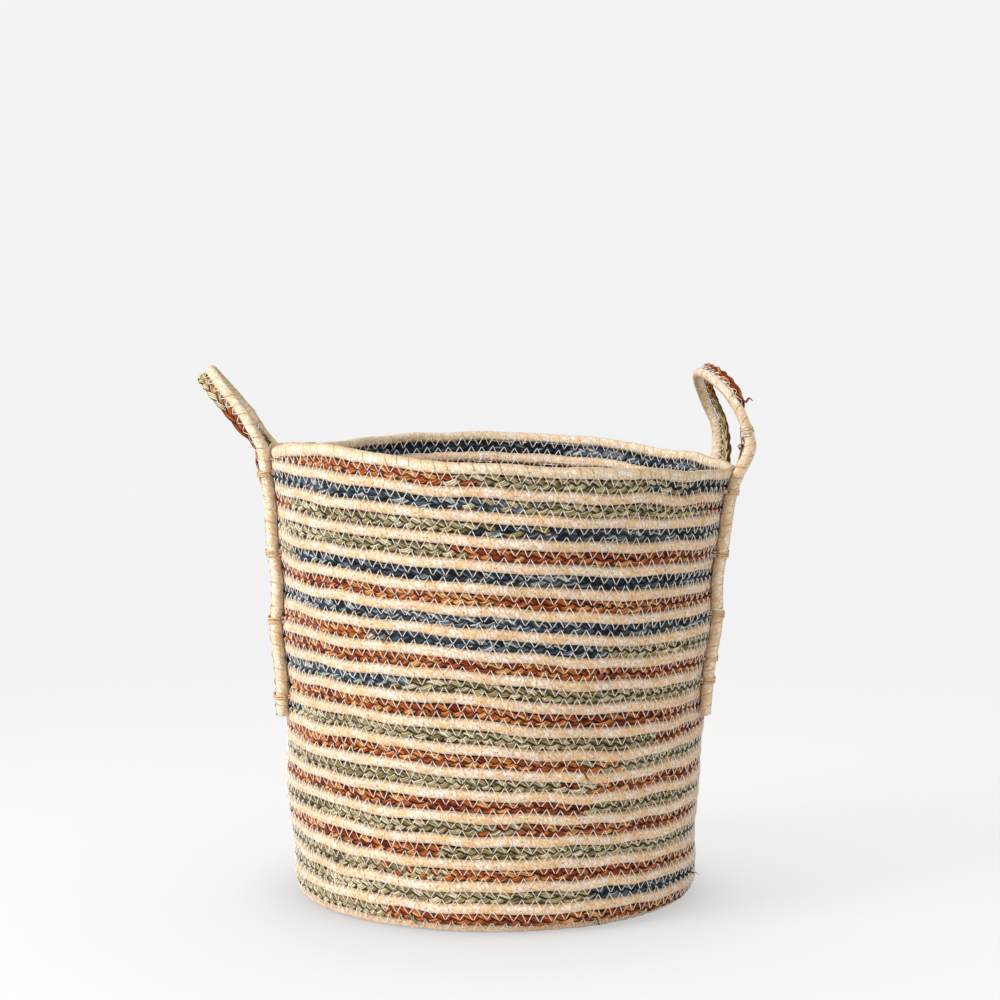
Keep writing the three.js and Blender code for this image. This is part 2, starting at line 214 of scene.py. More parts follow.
@dataclass(frozen=True)
class Basket:
    """The coil's sizes, the same as the solids', and where its surface lies."""

    cord_course: float = 8.5 * MM
    plait_course: float = 8.5 * MM
    course_gap: float = 0.45 * MM
    half_cord: float = 4.2 * MM
    half_plait: float = 3.4 * MM
    knot_radius: float = 4.3 * MM
    knot_gap: float = 0.3 * MM
    foot_radius: float = 154.8 * MM
    corner_radius: float = 9 * MM
    wall_height: float = 346 * MM
    wall_spread: float = 20 * MM
    rim_flare: float = 6 * MM
    flare_power: float = 6
    belly_shift: float = 2.3 * MM
    rim_shift: float = 7.4 * MM
    left_rise: float = 8.4 * MM
    rear_rise: float = 8.7 * MM
    handle_dip: float = 1.6 * MM
    uneven_to: float = 0.66
    start_turn: float = 0.25
    plait_taper: float = 1.6 / 24
    plait_past_front: float = 5 / 24
    cord_past_plait: float = 3 / 24
    cord_taper: float = 2.5 / 24
    splice_down: float = 7
    splice_past_front: float = 2 / 24
    row_wave: float = 0.55 * MM
    rim_swell: float = 2.0 * MM
    rim_swell_after: float = 0.975
    rim_swell_turns: float = 0.075
    dent: float = 1.0 * MM
    uneven_waves: int = 14

    @property
    def pitch(self) -> float:
        """What a cord and a plait take up together."""
        return self.cord_course + self.plait_course

    @property
    def flat_run(self) -> float:
        """How far the base is flat, from its middle."""
        return self.foot_radius - self.corner_radius

    @property
    def wall_foot(self) -> float:
        """The height at which the wall starts to rise straight."""
        return self.half_cord + self.corner_radius

    @property
    def wall_rise(self) -> float:
        """The wall's height above that."""
        return self.wall_height - self.wall_foot

    @property
    def corner_run(self) -> float:
        """The way round the foot's corner."""
        return self.corner_radius * math.pi / 2

    @property
    def knot_run(self) -> float:
        """Where the coil starts, out from the middle."""
        return self.knot_radius + self.knot_gap - self.course_gap / 2

    @property
    def front_turns(self) -> float:
        """The plait's last turn that passes the front under a whole turn of cord."""
        top = self.flat_run + self.corner_run + self.wall_rise
        whole = math.floor((top - self.knot_run - self.pitch) / self.pitch - self.start_turn)
        return whole + self.start_turn

    @property
    def plait_end(self) -> float:
        """The turn at which the plait tapers out under the rim."""
        return self.front_turns + self.plait_past_front

    @property
    def cord_end(self) -> float:
        """The turn at which the rim's cord ends."""
        return self.plait_end + 1 + self.cord_past_plait

    @property
    def splice(self) -> float:
        """The turn at which the wall's two lengths of plait are butted."""
        return self.front_turns - self.splice_down + self.splice_past_front

    def base_end(self, plait: bool) -> float:
        """Give the turn at which a coil leaves the flat of the base."""
        half_turns = math.floor(2 * (self.flat_run - self.knot_run) / self.pitch)
        return half_turns / 2 - (0.5 if plait else 0)

    def angle(self, turn: Array) -> Array:
        """Give the bearing of a turn from the front, growing to the right as seen from there."""
        return TURN * (self.start_turn - turn)

    def turn_at(self, courses_down: float, bearing: float) -> float:
        """Give the turn at a bearing in degrees, in a course counted down from the top plait."""
        return self.front_turns - courses_down - bearing / 360

    def plait_share(self, turn: Array) -> Array:
        """Give how much of its width the plait still has near its end."""
        return np.clip((self.plait_end - turn) / self.plait_taper, 0.0, 1.0)

    def cord_edges(self, turn: Array) -> tuple[Array, Array]:
        """Give the lower and upper edge of the cord's course.

        Args:
            turn: the places along the coil, in turns from its start.

        Returns:
            Both edges, as distances along the side line from the middle of the base.
        """
        lower = self.knot_run + self.pitch * turn
        lower = lower - self.plait_course * (1 - self.plait_share(turn - 1))
        left = np.clip((self.cord_end - turn) / self.cord_taper, 0.0, 1.0)
        upper = lower + self.cord_course * np.sqrt(left)
        past_swell = (turn - self.plait_end - self.rim_swell_after) / self.rim_swell_turns
        upper = upper + self.rim_swell * np.exp(-(past_swell**2))
        return np.maximum(self.knot_run, lower), upper

    def plait_edges(self, turn: Array) -> tuple[Array, Array]:
        """Give the lower and upper edge of the plait's course, as cord_edges does."""
        lower = self.knot_run + self.pitch * turn + self.cord_course
        upper = lower + self.plait_course * self.plait_share(turn)
        return np.maximum(self.knot_run, lower), upper

    def unevenness(self, run: Array, angle: Array) -> tuple[Array, Array]:
        """Give the hand-made wave of the courses and the dents of the wall.

        Args:
            run: how far along the side line from the middle of the base.
            angle: the bearing from the front.

        Returns:
            How far the courses are moved along the side line, and how far the wall stands out.
        """
        rng = np.random.default_rng(SEED)
        wave = np.zeros(np.broadcast(run, angle).shape)
        dent = np.zeros_like(wave)
        for _ in range(self.uneven_waves):
            count, phase = rng.integers(5, 22), rng.random() * TURN
            height = rng.uniform(0.05, 0.16)
            wave += np.sin(count * angle + run / height * TURN * rng.choice((-1, 1)) + phase)
            count, phase = rng.integers(2, 11), rng.random() * TURN
            height = rng.uniform(0.06, 0.25)
            dent += np.sin(count * angle + run / height * TURN * rng.choice((-1, 1)) + phase)
        grown = smooth((run - self.flat_run + 0.02) / 0.05)
        scale = grown / math.sqrt(self.uneven_waves / 2)
        share = (run - self.flat_run - self.corner_run) / self.wall_rise
        wave = wave * scale * self.row_wave + hand_lift(*np.broadcast_arrays(share, angle))
        return wave, dent * scale * self.dent

    def point(self, run: Array, angle: Array, out: Array) -> Array:
        """Give points of the basket.

        The side line is flat for flat_run, turns up on a circle of corner_radius, then rises
        straight while its radius grows evenly and flares at the rim.

        Args:
            run: how far along the side line from the middle of the base.
            angle: the bearing from the front.
            out: how far outwards from the middle of the wall's thickness.

        Returns:
            One row per point.
        """
        run, angle, out = np.broadcast_arrays(
            np.asarray(run, float), np.asarray(angle, float), np.asarray(out, float)
        )
        wave, dent = self.unevenness(run, angle)
        run = run + wave
        bend = np.clip((run - self.flat_run) / self.corner_radius, 0.0, math.pi / 2)
        rise = np.maximum(0.0, run - self.flat_run - self.corner_run)
        share = rise / self.wall_rise
        radius = np.minimum(run, self.flat_run) + self.corner_radius * np.sin(bend)
        radius = radius + self.wall_spread * share + self.rim_flare * share**self.flare_power
        height = self.wall_foot - self.corner_radius * np.cos(bend) + rise
        slope = self.wall_spread + self.rim_flare * self.flare_power * share ** (
            self.flare_power - 1
        )
        slope = np.where(rise > 0, slope / self.wall_rise, 0.0)
        length = np.hypot(1.0, slope)
        out_radius = np.where(rise > 0, 1 / length, np.sin(bend))
        out_height = np.where(rise > 0, -slope / length, -np.cos(bend))
        shift = self.rim_shift * share**3 - self.belly_shift * np.sin(math.pi * np.minimum(share, 1.1))
        lift = -self.left_rise * np.sin(angle) - self.handle_dip * (1 - np.cos(2 * angle))
        lift = lift + self.rear_rise * (1 - np.cos(angle))
        lift = lift * smooth(share / self.uneven_to)
        radius = radius + (out + dent * smooth(share * 8)) * out_radius
        return np.stack(
            [
                shift + radius * np.sin(angle),
                -radius * np.cos(angle),
                height + out * out_height + lift,
            ],
            axis=-1,
        )

    def frame_at(self, run: Array, angle: Array, out: Array) -> tuple[Array, Array, Array]:
        """Give points with the directions up the side line and out of the wall there."""
        step = 0.5 * MM
        middle = self.point(run, angle, out)
        up = unit(self.point(run + step, angle, out) - self.point(run - step, angle, out))
        away = unit(self.point(run, angle, out + step) - self.point(run, angle, out - step))
        return middle, up, away


BASKET = Basket()


@dataclass(frozen=True)
class Strap:
    """A handle's sizes, the same as the solids', and how it leaves the wall."""

    cord_radius: float = 4.5 * MM
    plait_half_width: float = 4 * MM
    plait_half_thick: float = 3 * MM
    ply_gap: float = 0.45 * MM
    seat_gap: float = 0.3 * MM
    roll_over: float = 25 * MM
    loose_before: float = 6 * MM
    loose_over: float = 24 * MM
    pull_at: float = 14 * MM
    blend_reach: float = 12 * MM

    @property
    def out(self) -> float:
        """How far the strap's middle lies out from the middle of the wall."""
        return BASKET.half_cord + self.seat_gap + self.cord_radius

    @property
    def cord_offset(self) -> float:
        """How far the cord's middle lies from the strap's, towards its outer edge."""
        return self.plait_half_width + self.ply_gap / 2


STRAP = Strap()
LEG_TOP = BASKET.wall_height - BASKET.cord_course


@dataclass(frozen=True)
class Leg:
    """A leg of a handle, lashed to the wall.

    Args:
        end: -1 for the front leg, 1 for the rear leg.
        turn: how far round from the middle of the side its top stands, in turns.
        lower_turn: the same at its lower end.
        stand_off: how far the hinge line stands out from the leg's line.
        ties: the ties' heights above the lower end.
        twist: where above the hinge the strap starts its quarter twist, and over how long.
        roll: how far its plait is turned outwards about its cord on the wall and at the hinge, in
            degrees.
        pull: how far the loop's bend above it is drawn towards the basket's middle.
    """

    end: int
    turn: float
    lower_turn: float
    stand_off: float
    ties: tuple[float, ...]
    twist: tuple[float, float]
    roll: tuple[float, float]
    width: float
    pull: float = 0.0

    @property
    def place(self) -> str:
        """The leg's place in names."""
        return "front" if self.end < 0 else "rear"


@dataclass(frozen=True)
class Handle:
    """One handle: its side, where it bends, how it leans and where it is lashed.

    Args:
        run: how far the loop reaches from the hinge line.
        straight: how far it runs straight before it arches.
        twist: where above the hinge the solids twist, and over how long.
        slim: the widths of the cord in the loop and of the plait at its top, as shares of the full
            ones.
        lean: how far it leans outwards at its hinge and at its top, in degrees.
        dyes: the plait's colours, as (share of the way from the front leg's end, letters).
    """

    side: Side
    leg_bottom: float
    run: float
    straight: float
    twist: tuple[float, float]
    slim: tuple[float, float]
    lean: tuple[float, float]
    front: Leg
    rear: Leg
    dyes: tuple[tuple[float, str], ...]
    # Painted light and shade: how light the plait's leaf is painted, lighter on the left handle, which
    # the key lamp lights, and darker on the right, which lies in shade.
    tone: float

    @property
    def name(self) -> str:
        """The side's name, as the solids use it."""
        return self.side.name.lower()

    @property
    def body(self) -> str:
        """The body that its loop rides on."""
        return f"{self.name}_handle"


LEFT_TIES = (15 * MM, 72 * MM, 122 * MM, 181 * MM)
LEFT = Handle(
    side=Side.LEFT,
    leg_bottom=142 * MM,
    run=68 * MM,
    straight=0.0,
    twist=(0.0, 28 * MM),
    slim=(0.94, 1.05),
    lean=(42.0, 38.0),
    front=Leg(
        end=-1,
        turn=0.88 / 24,
        lower_turn=1.2 / 24,
        stand_off=2.9 * MM,
        ties=LEFT_TIES,
        twist=(0.0, 20 * MM),
        roll=(4.0, 22.0),
        width=0.85,
    ),
    rear=Leg(
        end=1,
        turn=0.72 / 24,
        lower_turn=1 / 24,
        stand_off=8.3 * MM,
        ties=LEFT_TIES,
        twist=(0.0, 28 * MM),
        roll=(0.0, 0.0),
        width=0.8,
    ),
    dyes=((0.0, "rrr"), (0.40, "rcr"), (0.425, "ccs"), (0.45, "ccc"), (0.6, "csc"), (0.8, "srs")),
    tone=1.15,
)
RIGHT = Handle(
    side=Side.RIGHT,
    leg_bottom=152 * MM,
    run=65 * MM,
    straight=22 * MM,
    twist=(9 * MM, 38 * MM),
    slim=(0.86, 0.80),
    lean=(-4.0, -42.0),
    front=Leg(
        end=-1,
        turn=1.17 / 24,
        lower_turn=1 / 24,
        stand_off=11.5 * MM,
        ties=(27 * MM, 43 * MM, 78.5 * MM, 127 * MM, 174 * MM),
        twist=(20 * MM, 38 * MM),
        roll=(0.0, -10.0),
        width=0.72,
        pull=2.6 * MM,
    ),
    rear=Leg(
        end=1,
        turn=1.44 / 24,
        lower_turn=1.4 / 24,
        stand_off=0.8 * MM,
        ties=(15 * MM, 70 * MM, 120 * MM, 170 * MM),
        twist=(0.0, 26 * MM),
        roll=(0.0, 44.0),
        width=0.75,
    ),
    dyes=((0.0, "rrr"), (0.60, "rcr"), (0.62, "ccc"), (0.85, "srs")),
    tone=0.85,
)

# The plait's colours down the coil from its end under the rim. Each row has the courses counted
# down from the top one, then for each colour the bearing in degrees where it starts and the dye of
# each of the three strands.
PLAIT_DYES = (
    (0, (-90, "rrr"), (-14, "srs"), (-6, "sss"), (31, "sns"), (50, "nnn")),
    (1, (-12, "nsn"), (4, "sss"), (57, "rrr")),
    (2, (-67, "sss"), (-5, "nsn"), (9, "nnn"), (150, "sss")),
    (3, (-10, "rrr"), (170, "sss")),
    (4, (-60, "nnn"), (180, "rrr")),
    (5, (200, "nnn")),
    (6, (185, "rrr")),
    (7, (-30, "nnn"), (28, "sss"), (170, "rrr")),
    (8, (170, "nnn")),
    (9, (-24, "sss"), (180, "rrr")),
    (10, (200, "nsn")),
    (11, (-64, "sss"), (46, "rrr")),
    (12, (18, "rsr"), (35, "sss")),
    (13, (14, "srs"), (29, "rrr")),
    (14, (23, "sss")),
    (15, (-4, "srs"), (9, "rrr")),
    (16, (-15, "sss"), (63, "nsn"), (150, "sss")),
    (17, (-36, "rss"), (-11, "rrr"), (180, "sss")),
    (18, (27, "nnn"), (160, "sss")),
    (19, (-29, "rrr"), (170, "sss")),
    (21, (0, "nnn")),
    (22, (90, "rrr")),
    (24, (0, "sss")),
    (26, (0, "rrr")),
)


# Meshes


@dataclass
class Tube:
    """Rings of swept sections, gathered before they become one mesh."""

    points: list[Array] = field(default_factory=list)
    faces: list[Array] = field(default_factory=list)
    coords: list[Array] = field(default_factory=list)
    values: dict[str, list[Array]] = field(default_factory=dict)
    count: int = 0

    def add(
        self,
        rings: Array,
        along: Array,
        values: dict[str, Array] | None = None,
        point_values: dict[str, Array] | None = None,
    ) -> None:
        """Add one run of rings, closed by a face over each end, with its faces outwards.

        Args:
            rings: (ring, side, xyz).
            along: each ring's place along the run, for the first texture coordinate.
            values: named values per ring, each a number or a vector.
            point_values: named numbers per point of each ring.
        """
        total, sides = rings.shape[:2]
        middle = rings.mean(axis=1)
        spokes = rings - middle[:, None, :]
        area = np.cross(spokes, np.roll(spokes, -1, axis=1)).sum(axis=1)
        way = 1 if np.sum(area[:-1] * np.diff(middle, axis=0)) > 0 else -1
        first = self.count + np.arange(total - 1)[:, None] * sides
        here = np.arange(sides)[None, :]
        after = (here + 1) % sides
        quads = np.stack(
            [first + here, first + after, first + after + sides, first + here + sides], axis=-1
        )
        self.faces.append(quads[..., ::way].reshape(-1, 4))
        u = np.stack([along[:-1], along[:-1], along[1:], along[1:]], axis=-1)[:, None, :]
        v = np.stack([here, here + 1, here + 1, here], axis=-1) / sides
        coords = np.stack(np.broadcast_arrays(u, v), axis=-1)
        self.coords.append(coords[..., ::way, :].reshape(-1, 2))
        ring = np.arange(sides)[::way]
        for end, order in ((0, ring[::-1]), (total - 1, ring)):
            self.faces.append((self.count + end * sides + order)[None, :])
            self.coords.append(np.stack([np.full(sides, along[end]), order / sides], axis=-1))
        self.points.append(rings.reshape(-1, 3))
        for name, value in (values or {}).items():
            self.values.setdefault(name, []).append(np.repeat(value, sides, axis=0))
        for name, value in (point_values or {}).items():
            self.values.setdefault(name, []).append(value.reshape(-1))
        self.count += total * sides

    def add_studs(self, corners: Array, tips: Array) -> None:
        """Add small closed solids of eight faces each.

        Args:
            corners: (stud, corner, xyz), counted to the left as seen from outside.
            tips: (stud, [outer, inner], xyz).
        """
        total = len(corners)
        side = [(k, (k + 1) % 4, 4) for k in range(4)] + [((k + 1) % 4, k, 5) for k in range(4)]
        faces = self.count + 6 * np.arange(total)[:, None, None] + np.array(side)
        self.faces.append(faces.reshape(-1, 3))
        self.coords.append(np.zeros((total * 24, 2)))
        self.points.append(np.concatenate([corners, tips], axis=1).reshape(-1, 3))
        self.count += total * 6

    def mesh(self, name: str) -> bpy.types.Mesh:
        """Make the mesh, with its texture coordinates and named values."""
        loops = np.concatenate([faces.ravel() for faces in self.faces]).astype(np.int32)
        sizes = np.concatenate([np.full(len(faces), faces.shape[1]) for faces in self.faces])
        mesh = bpy.data.meshes.new(name)
        vertices = np.concatenate(self.points)
        mesh.vertices.add(len(vertices))
        mesh.vertices.foreach_set("co", vertices.astype(np.float32).ravel())
        mesh.loops.add(len(loops))
        mesh.loops.foreach_set("vertex_index", loops)
        mesh.polygons.add(len(sizes))
        mesh.polygons.foreach_set("loop_start", (np.cumsum(sizes) - sizes).astype(np.int32))
        mesh.polygons.foreach_set("use_smooth", np.ones(len(sizes), dtype=bool))
        layer = mesh.uv_layers.new(name="along_around")
        layer.data.foreach_set("uv", np.concatenate(self.coords).astype(np.float32).ravel())
        for key, parts in self.values.items():
            data = np.concatenate(parts).astype(np.float32)
            kind, prop = ("FLOAT", "value") if data.ndim == 1 else ("FLOAT_VECTOR", "vector")
            attribute = mesh.attributes.new(key, kind, "POINT")
            attribute.data.foreach_set(prop, data.ravel())
        mesh.update(calc_edges=True)
        mesh.validate()
        return mesh


@dataclass(frozen=True)
class Section:
    """A closed section: a rounded box from round, at 2, towards square as power grows."""

    sides: int
    power: float = 2.0

    def points(self) -> Array:
        """Give (side, [across, through]) in shares of the half width and half thickness."""
        turn = TURN * (np.arange(self.sides) + 0.5) / self.sides
        shape = np.stack([np.cos(turn), np.sin(turn)], axis=-1)
        return np.sign(shape) * np.abs(shape) ** (2 / self.power)


def rings_along(
    section: Section,
    middle: Array,
    across: Array,
    through: Array,
    half_width: Array,
    half_thick: Array,
) -> Array:
    """Place a section at each point of a line, with its own width and thickness there."""
    shape = section.points()
    wide = across[:, None, :] * (shape[None, :, :1] * np.asarray(half_width)[:, None, None])
    thick = through[:, None, :] * (shape[None, :, 1:] * np.asarray(half_thick)[:, None, None])
    return middle[:, None, :] + wide + thick


def drawn_in(along: Array, length: float, least: float = 0.05) -> Array:
    """Give a factor that closes a tube at both of its ends, as a quarter of a circle."""
    near = np.minimum(along - along[0], along[-1] - along) / length
    return least + (1 - least) * np.sqrt(np.clip(1 - (1 - np.clip(near, 0, 1)) ** 2, 0, 1))


def add_piece(
    name: str, tube: Tube, material: Material, slot: str, body: str = "basket", nodes: tuple = ()
) -> bpy.types.Object:
    """Put a tube's mesh into the scene as a piece.

    Args:
        name: the piece's name.
        tube: its rings.
        material: its finish.
        slot: the record's slot of its finish; not used.
        body: the body that it rides on, or nothing to leave it on no body.
        nodes: the nodes that it stands for.

    Returns:
        The piece.
    """
    mesh = tube.mesh(name)
    mesh.materials.append(material)
    piece = bpy.data.objects.new(name, mesh)
    bpy.context.scene.collection.objects.link(piece)
    if nodes:
        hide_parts(*nodes)
    if body:
        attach(piece, body)
    LOG.info("%s: %d faces", name, len(mesh.polygons))
    return piece


# Materials


class Graph:
    """A node tree being built, with short ways to add and join nodes."""

    def __init__(self, tree: NodeTree) -> None:
        """Keep the tree."""
        self.tree = tree

    def put(self, socket: Socket, value: object) -> None:
        """Join a socket to another one, or set its value."""
        if isinstance(value, Socket):
            self.tree.links.new(value, socket)
        else:
            socket.default_value = value

    def node(self, kind: str, inputs: dict[str, object] | None = None, **settings: object) -> Node:
        """Add a node."""
        made = self.tree.nodes.new(kind)
        for key, value in settings.items():
            setattr(made, key, value)
        self.fed(made, inputs or {})
        return made

    def math(self, operation: str, *values: object) -> Socket:
        """Add a Math node and give its result."""
        made = self.node("ShaderNodeMath", operation=operation)
        for socket, value in zip(made.inputs, values):
            self.put(socket, value)
        return made.outputs[0]

    def mix(self, factor: object, a: object, b: object) -> Socket:
        """Mix two colours."""
        made = self.node("ShaderNodeMix", data_type="RGBA")
        colours = [socket for socket in made.inputs if socket.type == "RGBA"]
        for socket, value in zip((made.inputs["Factor"], *colours), (factor, a, b)):
            self.put(socket, value)
        return next(socket for socket in made.outputs if socket.type == "RGBA")

    def ramp(self, factor: object, stops: Stops) -> Socket:
        """Map a factor to colours."""
        made = self.node("ShaderNodeValToRGB", {"Fac": factor})
        elements = made.color_ramp.elements
        while len(elements) < len(stops):
            elements.new(0.5)
        for element, (place, colour) in zip(elements, stops):
            element.position = place
            element.color = (*colour, 1.0)
        return made.outputs["Color"]

    def step(self, factor: object, low: float, high: float) -> Socket:
        """Rise smoothly from 0 to 1."""
        made = self.node("ShaderNodeMapRange", interpolation_type="SMOOTHSTEP")
        for key, value in (("Value", factor), ("From Min", low), ("From Max", high)):
            self.put(made.inputs[key], value)
        return made.outputs["Result"]

    def blend(self, factor: object, a: object, b: object) -> Socket:
        """Mix two shaders."""
        made = self.node("ShaderNodeMixShader")
        for socket, value in zip(made.inputs, (factor, a, b)):
            self.put(socket, value)
        return made.outputs[0]

    def vector(self, x: object, y: object) -> Socket:
        """Join two values into a vector."""
        return self.node("ShaderNodeCombineXYZ", {"X": x, "Y": y, "Z": 0.0}).outputs[0]

    def noise(self, vector: object, scale: float, detail: float, rough: float) -> Socket:
        """Add a noise and give its value."""
        inputs = {"Vector": vector, "Scale": scale, "Detail": detail, "Roughness": rough}
        return self.node("ShaderNodeTexNoise", inputs).outputs["Fac"]

    def fed(self, node: Node, values: dict[str, object]) -> None:
        """Put a socket or a value into each named input of a node."""
        for key, value in values.items():
            self.put(node.inputs[key], value)

    def surface(self, shader: Socket) -> None:
        """Make a shader the material's surface."""
        self.fed(self.node("ShaderNodeOutputMaterial"), {"Surface": shader})

    def relief(self, shader: Node, height: object, depth: float) -> None:
        """Give a shader the relief of a height."""
        bump = self.node("ShaderNodeBump", {"Height": height, "Distance": depth, "Strength": 1.0})
        self.put(shader.inputs["Normal"], bump.outputs[0])


def new_material(name: str) -> tuple[Material, Graph]:
    """Start a material, and give it with its empty graph."""
    material = bpy.data.materials.new(name)
    material.use_nodes = True
    material.node_tree.nodes.clear()
    return material, Graph(material.node_tree)


def new_group(
    name: str, inputs: dict[str, float], outputs: tuple[str, ...]
) -> tuple[NodeTree, Graph, Node, Node]:
    """Start a shader node group with number inputs and number outputs.

    Args:
        name: the group's name.
        inputs: its inputs, with their usual values.
        outputs: its outputs.

    Returns:
        The group's tree, a Graph of it, its input node and its output node.
    """
    tree = bpy.data.node_groups.new(name, "ShaderNodeTree")
    for key, value in inputs.items():
        socket = tree.interface.new_socket(key, in_out="INPUT", socket_type="NodeSocketFloat")
        socket.default_value = value
    for key in outputs:
        tree.interface.new_socket(key, in_out="OUTPUT", socket_type="NodeSocketFloat")
    graph = Graph(tree)
    return tree, graph, graph.node("NodeGroupInput"), graph.node("NodeGroupOutput")


@dataclass(frozen=True)
class Husk:
    """The look of dried husk leaf: its fibres, creases, patches and flecks.

    Args:
        fibre: the fibres' detail and roughness.
        warp: the scale of the noise that bends the creases, and how far it bends them.
        crease: the creases' scale, width and stretch.
        patch: the patches' scale, detail and roughness.
        fleck: the scales of the flecks and of the places where they gather.
        fleck_from: for both, the noises at which a fleck starts and is full.
        depths: how much fibres, patches and creases count in the relief.
    """

    fibre: tuple[float, float] = (2.5, 0.6)
    warp: tuple[float, float] = (260.0, 0.006)
    crease: tuple[float, float, float] = (300.0, 0.16, 0.62)
    patch: tuple[float, float, float] = (95.0, 4.0, 0.66)
    fleck: tuple[float, float] = (520.0, 60.0)
    fleck_from: tuple[tuple[float, float], ...] = ((0.62, 0.70), (0.42, 0.6))
    depths: tuple[float, float, float] = (0.45, 0.6, 0.35)

    def group(self) -> NodeTree:
        """Build its node group.

        Along and Around are distances in metres over the piece's own surface, and Slant leans the
        fibres and the creases.

        Returns:
            The group.
        """
        given = {"Along": 0.0, "Around": 0.0, "Slant": 0.3, "Fibre Pitch": 0.0012, "Fibre Length": 0.02}
        shown = ("Fibre", "Crease", "Patch", "Fleck", "Height")
        tree, g, start, result = new_group("husk_leaf", given, shown)
        along, around, slant, pitch, length = (start.outputs[key] for key in given)
        leaned = g.math("MULTIPLY_ADD", around, slant, along)
        threads = g.vector(g.math("DIVIDE", leaned, pitch), g.math("DIVIDE", around, length))
        fibre = g.noise(threads, 1.0, *self.fibre)
        place = g.vector(along, around)
        warp = g.noise(place, self.warp[0], 2.0, 0.6)
        bent = g.math("MULTIPLY_ADD", warp, self.warp[1], leaned)
        bent = g.vector(bent, g.math("MULTIPLY", around, self.crease[2]))
        inputs = {"Vector": bent, "Scale": self.crease[0]}
        cells = g.node("ShaderNodeTexVoronoi", inputs, feature="DISTANCE_TO_EDGE")
        crease = g.step(cells.outputs["Distance"], 0.0, self.crease[1])
        crease = g.math("SUBTRACT", 1.0, crease)
        patch = g.noise(place, *self.patch)
        spots = g.noise(place, self.fleck[0], 2.0, 0.5)
        rare = g.noise(place, self.fleck[1], 1.0, 0.5)
        spots, rare = (g.step(noise, *span) for noise, span in zip((spots, rare), self.fleck_from))
        fleck = g.math("MULTIPLY", spots, rare)
        height = g.math("MULTIPLY", patch, self.depths[1])
        height = g.math("MULTIPLY_ADD", fibre, self.depths[0], height)
        height = g.math("SUBTRACT", height, g.math("MULTIPLY", crease, self.depths[2]))
        g.fed(result, dict(zip(shown, (fibre, crease, patch, fleck, height))))
        return tree


@dataclass(frozen=True)
class Strips:
    """The look of a strand rolled from several leaf strips that lie side by side.

    Args:
        sway: the scale of the noise that bends the strips, and by how many strips it does.
        piece_rate: how many pieces of leaf follow each other in a metre.
        piece_shift: how far a strip's pieces are moved against the next strip's.
        streak: how often the tone changes along a metre, and across one strip.
        groove: the shares of a strip at which its groove is deepest and ends.
    """

    sway: tuple[float, float] = (130.0, 2.6)
    piece_rate: float = 38.0
    piece_shift: float = 0.37
    streak: tuple[float, float] = (30.0, 3.1)
    tones: tuple[float, float] = (0.7, 0.45)
    groove: tuple[float, float] = (0.02, 0.24)

    def group(self) -> NodeTree:
        """Build its node group.

        Along is a distance in metres, and Around the share of the way round the strand.

        Returns:
            The group.
        """
        given = {"Along": 0.0, "Around": 0.0, "Strips": 9.0}
        tree, g, start, result = new_group("leaf_strips", given, ("Tone", "Groove", "Height"))
        along, around, count = (start.outputs[key] for key in given)
        sway = g.vector(along, g.math("MULTIPLY", around, 0.006))
        sway = g.math("MULTIPLY", g.noise(sway, self.sway[0], 2.0, 0.6), self.sway[1])
        place = g.math("ADD", g.math("MULTIPLY", around, count), sway)
        number = g.math("FLOOR", place)
        within = g.math("FRACT", place)
        shift = g.math("MULTIPLY", number, self.piece_shift)
        piece = g.math("FLOOR", g.math("MULTIPLY_ADD", along, self.piece_rate, shift))
        inputs = {"Vector": g.vector(number, piece)}
        chance = g.node("ShaderNodeTexWhiteNoise", inputs, noise_dimensions="3D")
        lines = (g.math("MULTIPLY", at, rate) for at, rate in zip((along, place), self.streak))
        streak = g.math("MULTIPLY", g.noise(g.vector(*lines), 1.0, 2.0, 0.6), self.tones[1])
        tone = g.math("MULTIPLY_ADD", chance.outputs["Value"], self.tones[0], streak)
        near = g.math("MINIMUM", within, g.math("SUBTRACT", 1.0, within))
        groove = g.math("SUBTRACT", 1.0, g.step(near, *self.groove))
        height = g.math("SUBTRACT", 1.0, groove)
        g.fed(result, {"Tone": tone, "Groove": groove, "Height": height})
        return tree


@dataclass(frozen=True)
class Leaf:
    """A finish of dried leaf."""

    name: str
    around: float
    slant: float
    pitch: float
    length: float
    bump: float
    roughness: float = 0.66
    gloss: float = 0.4


@dataclass(frozen=True)
class Palette:
    """The colours of undyed husk: its bleached, plain and ripe parts, the painted shade at a cord's
    edges, and its shadowed and flecked parts.
    """

    pale: tuple[float, ...] = (0.95, 0.845, 0.745, 1)
    cream: tuple[float, ...] = (0.90, 0.64, 0.40, 1)
    straw: tuple[float, ...] = (0.72, 0.43, 0.19, 1)
    edge_shade: tuple[float, ...] = (0.58, 0.35, 0.16, 1)
    shadow: tuple[float, ...] = (0.42, 0.22, 0.08, 1)
    fleck: tuple[float, ...] = (0.30, 0.14, 0.05, 1)


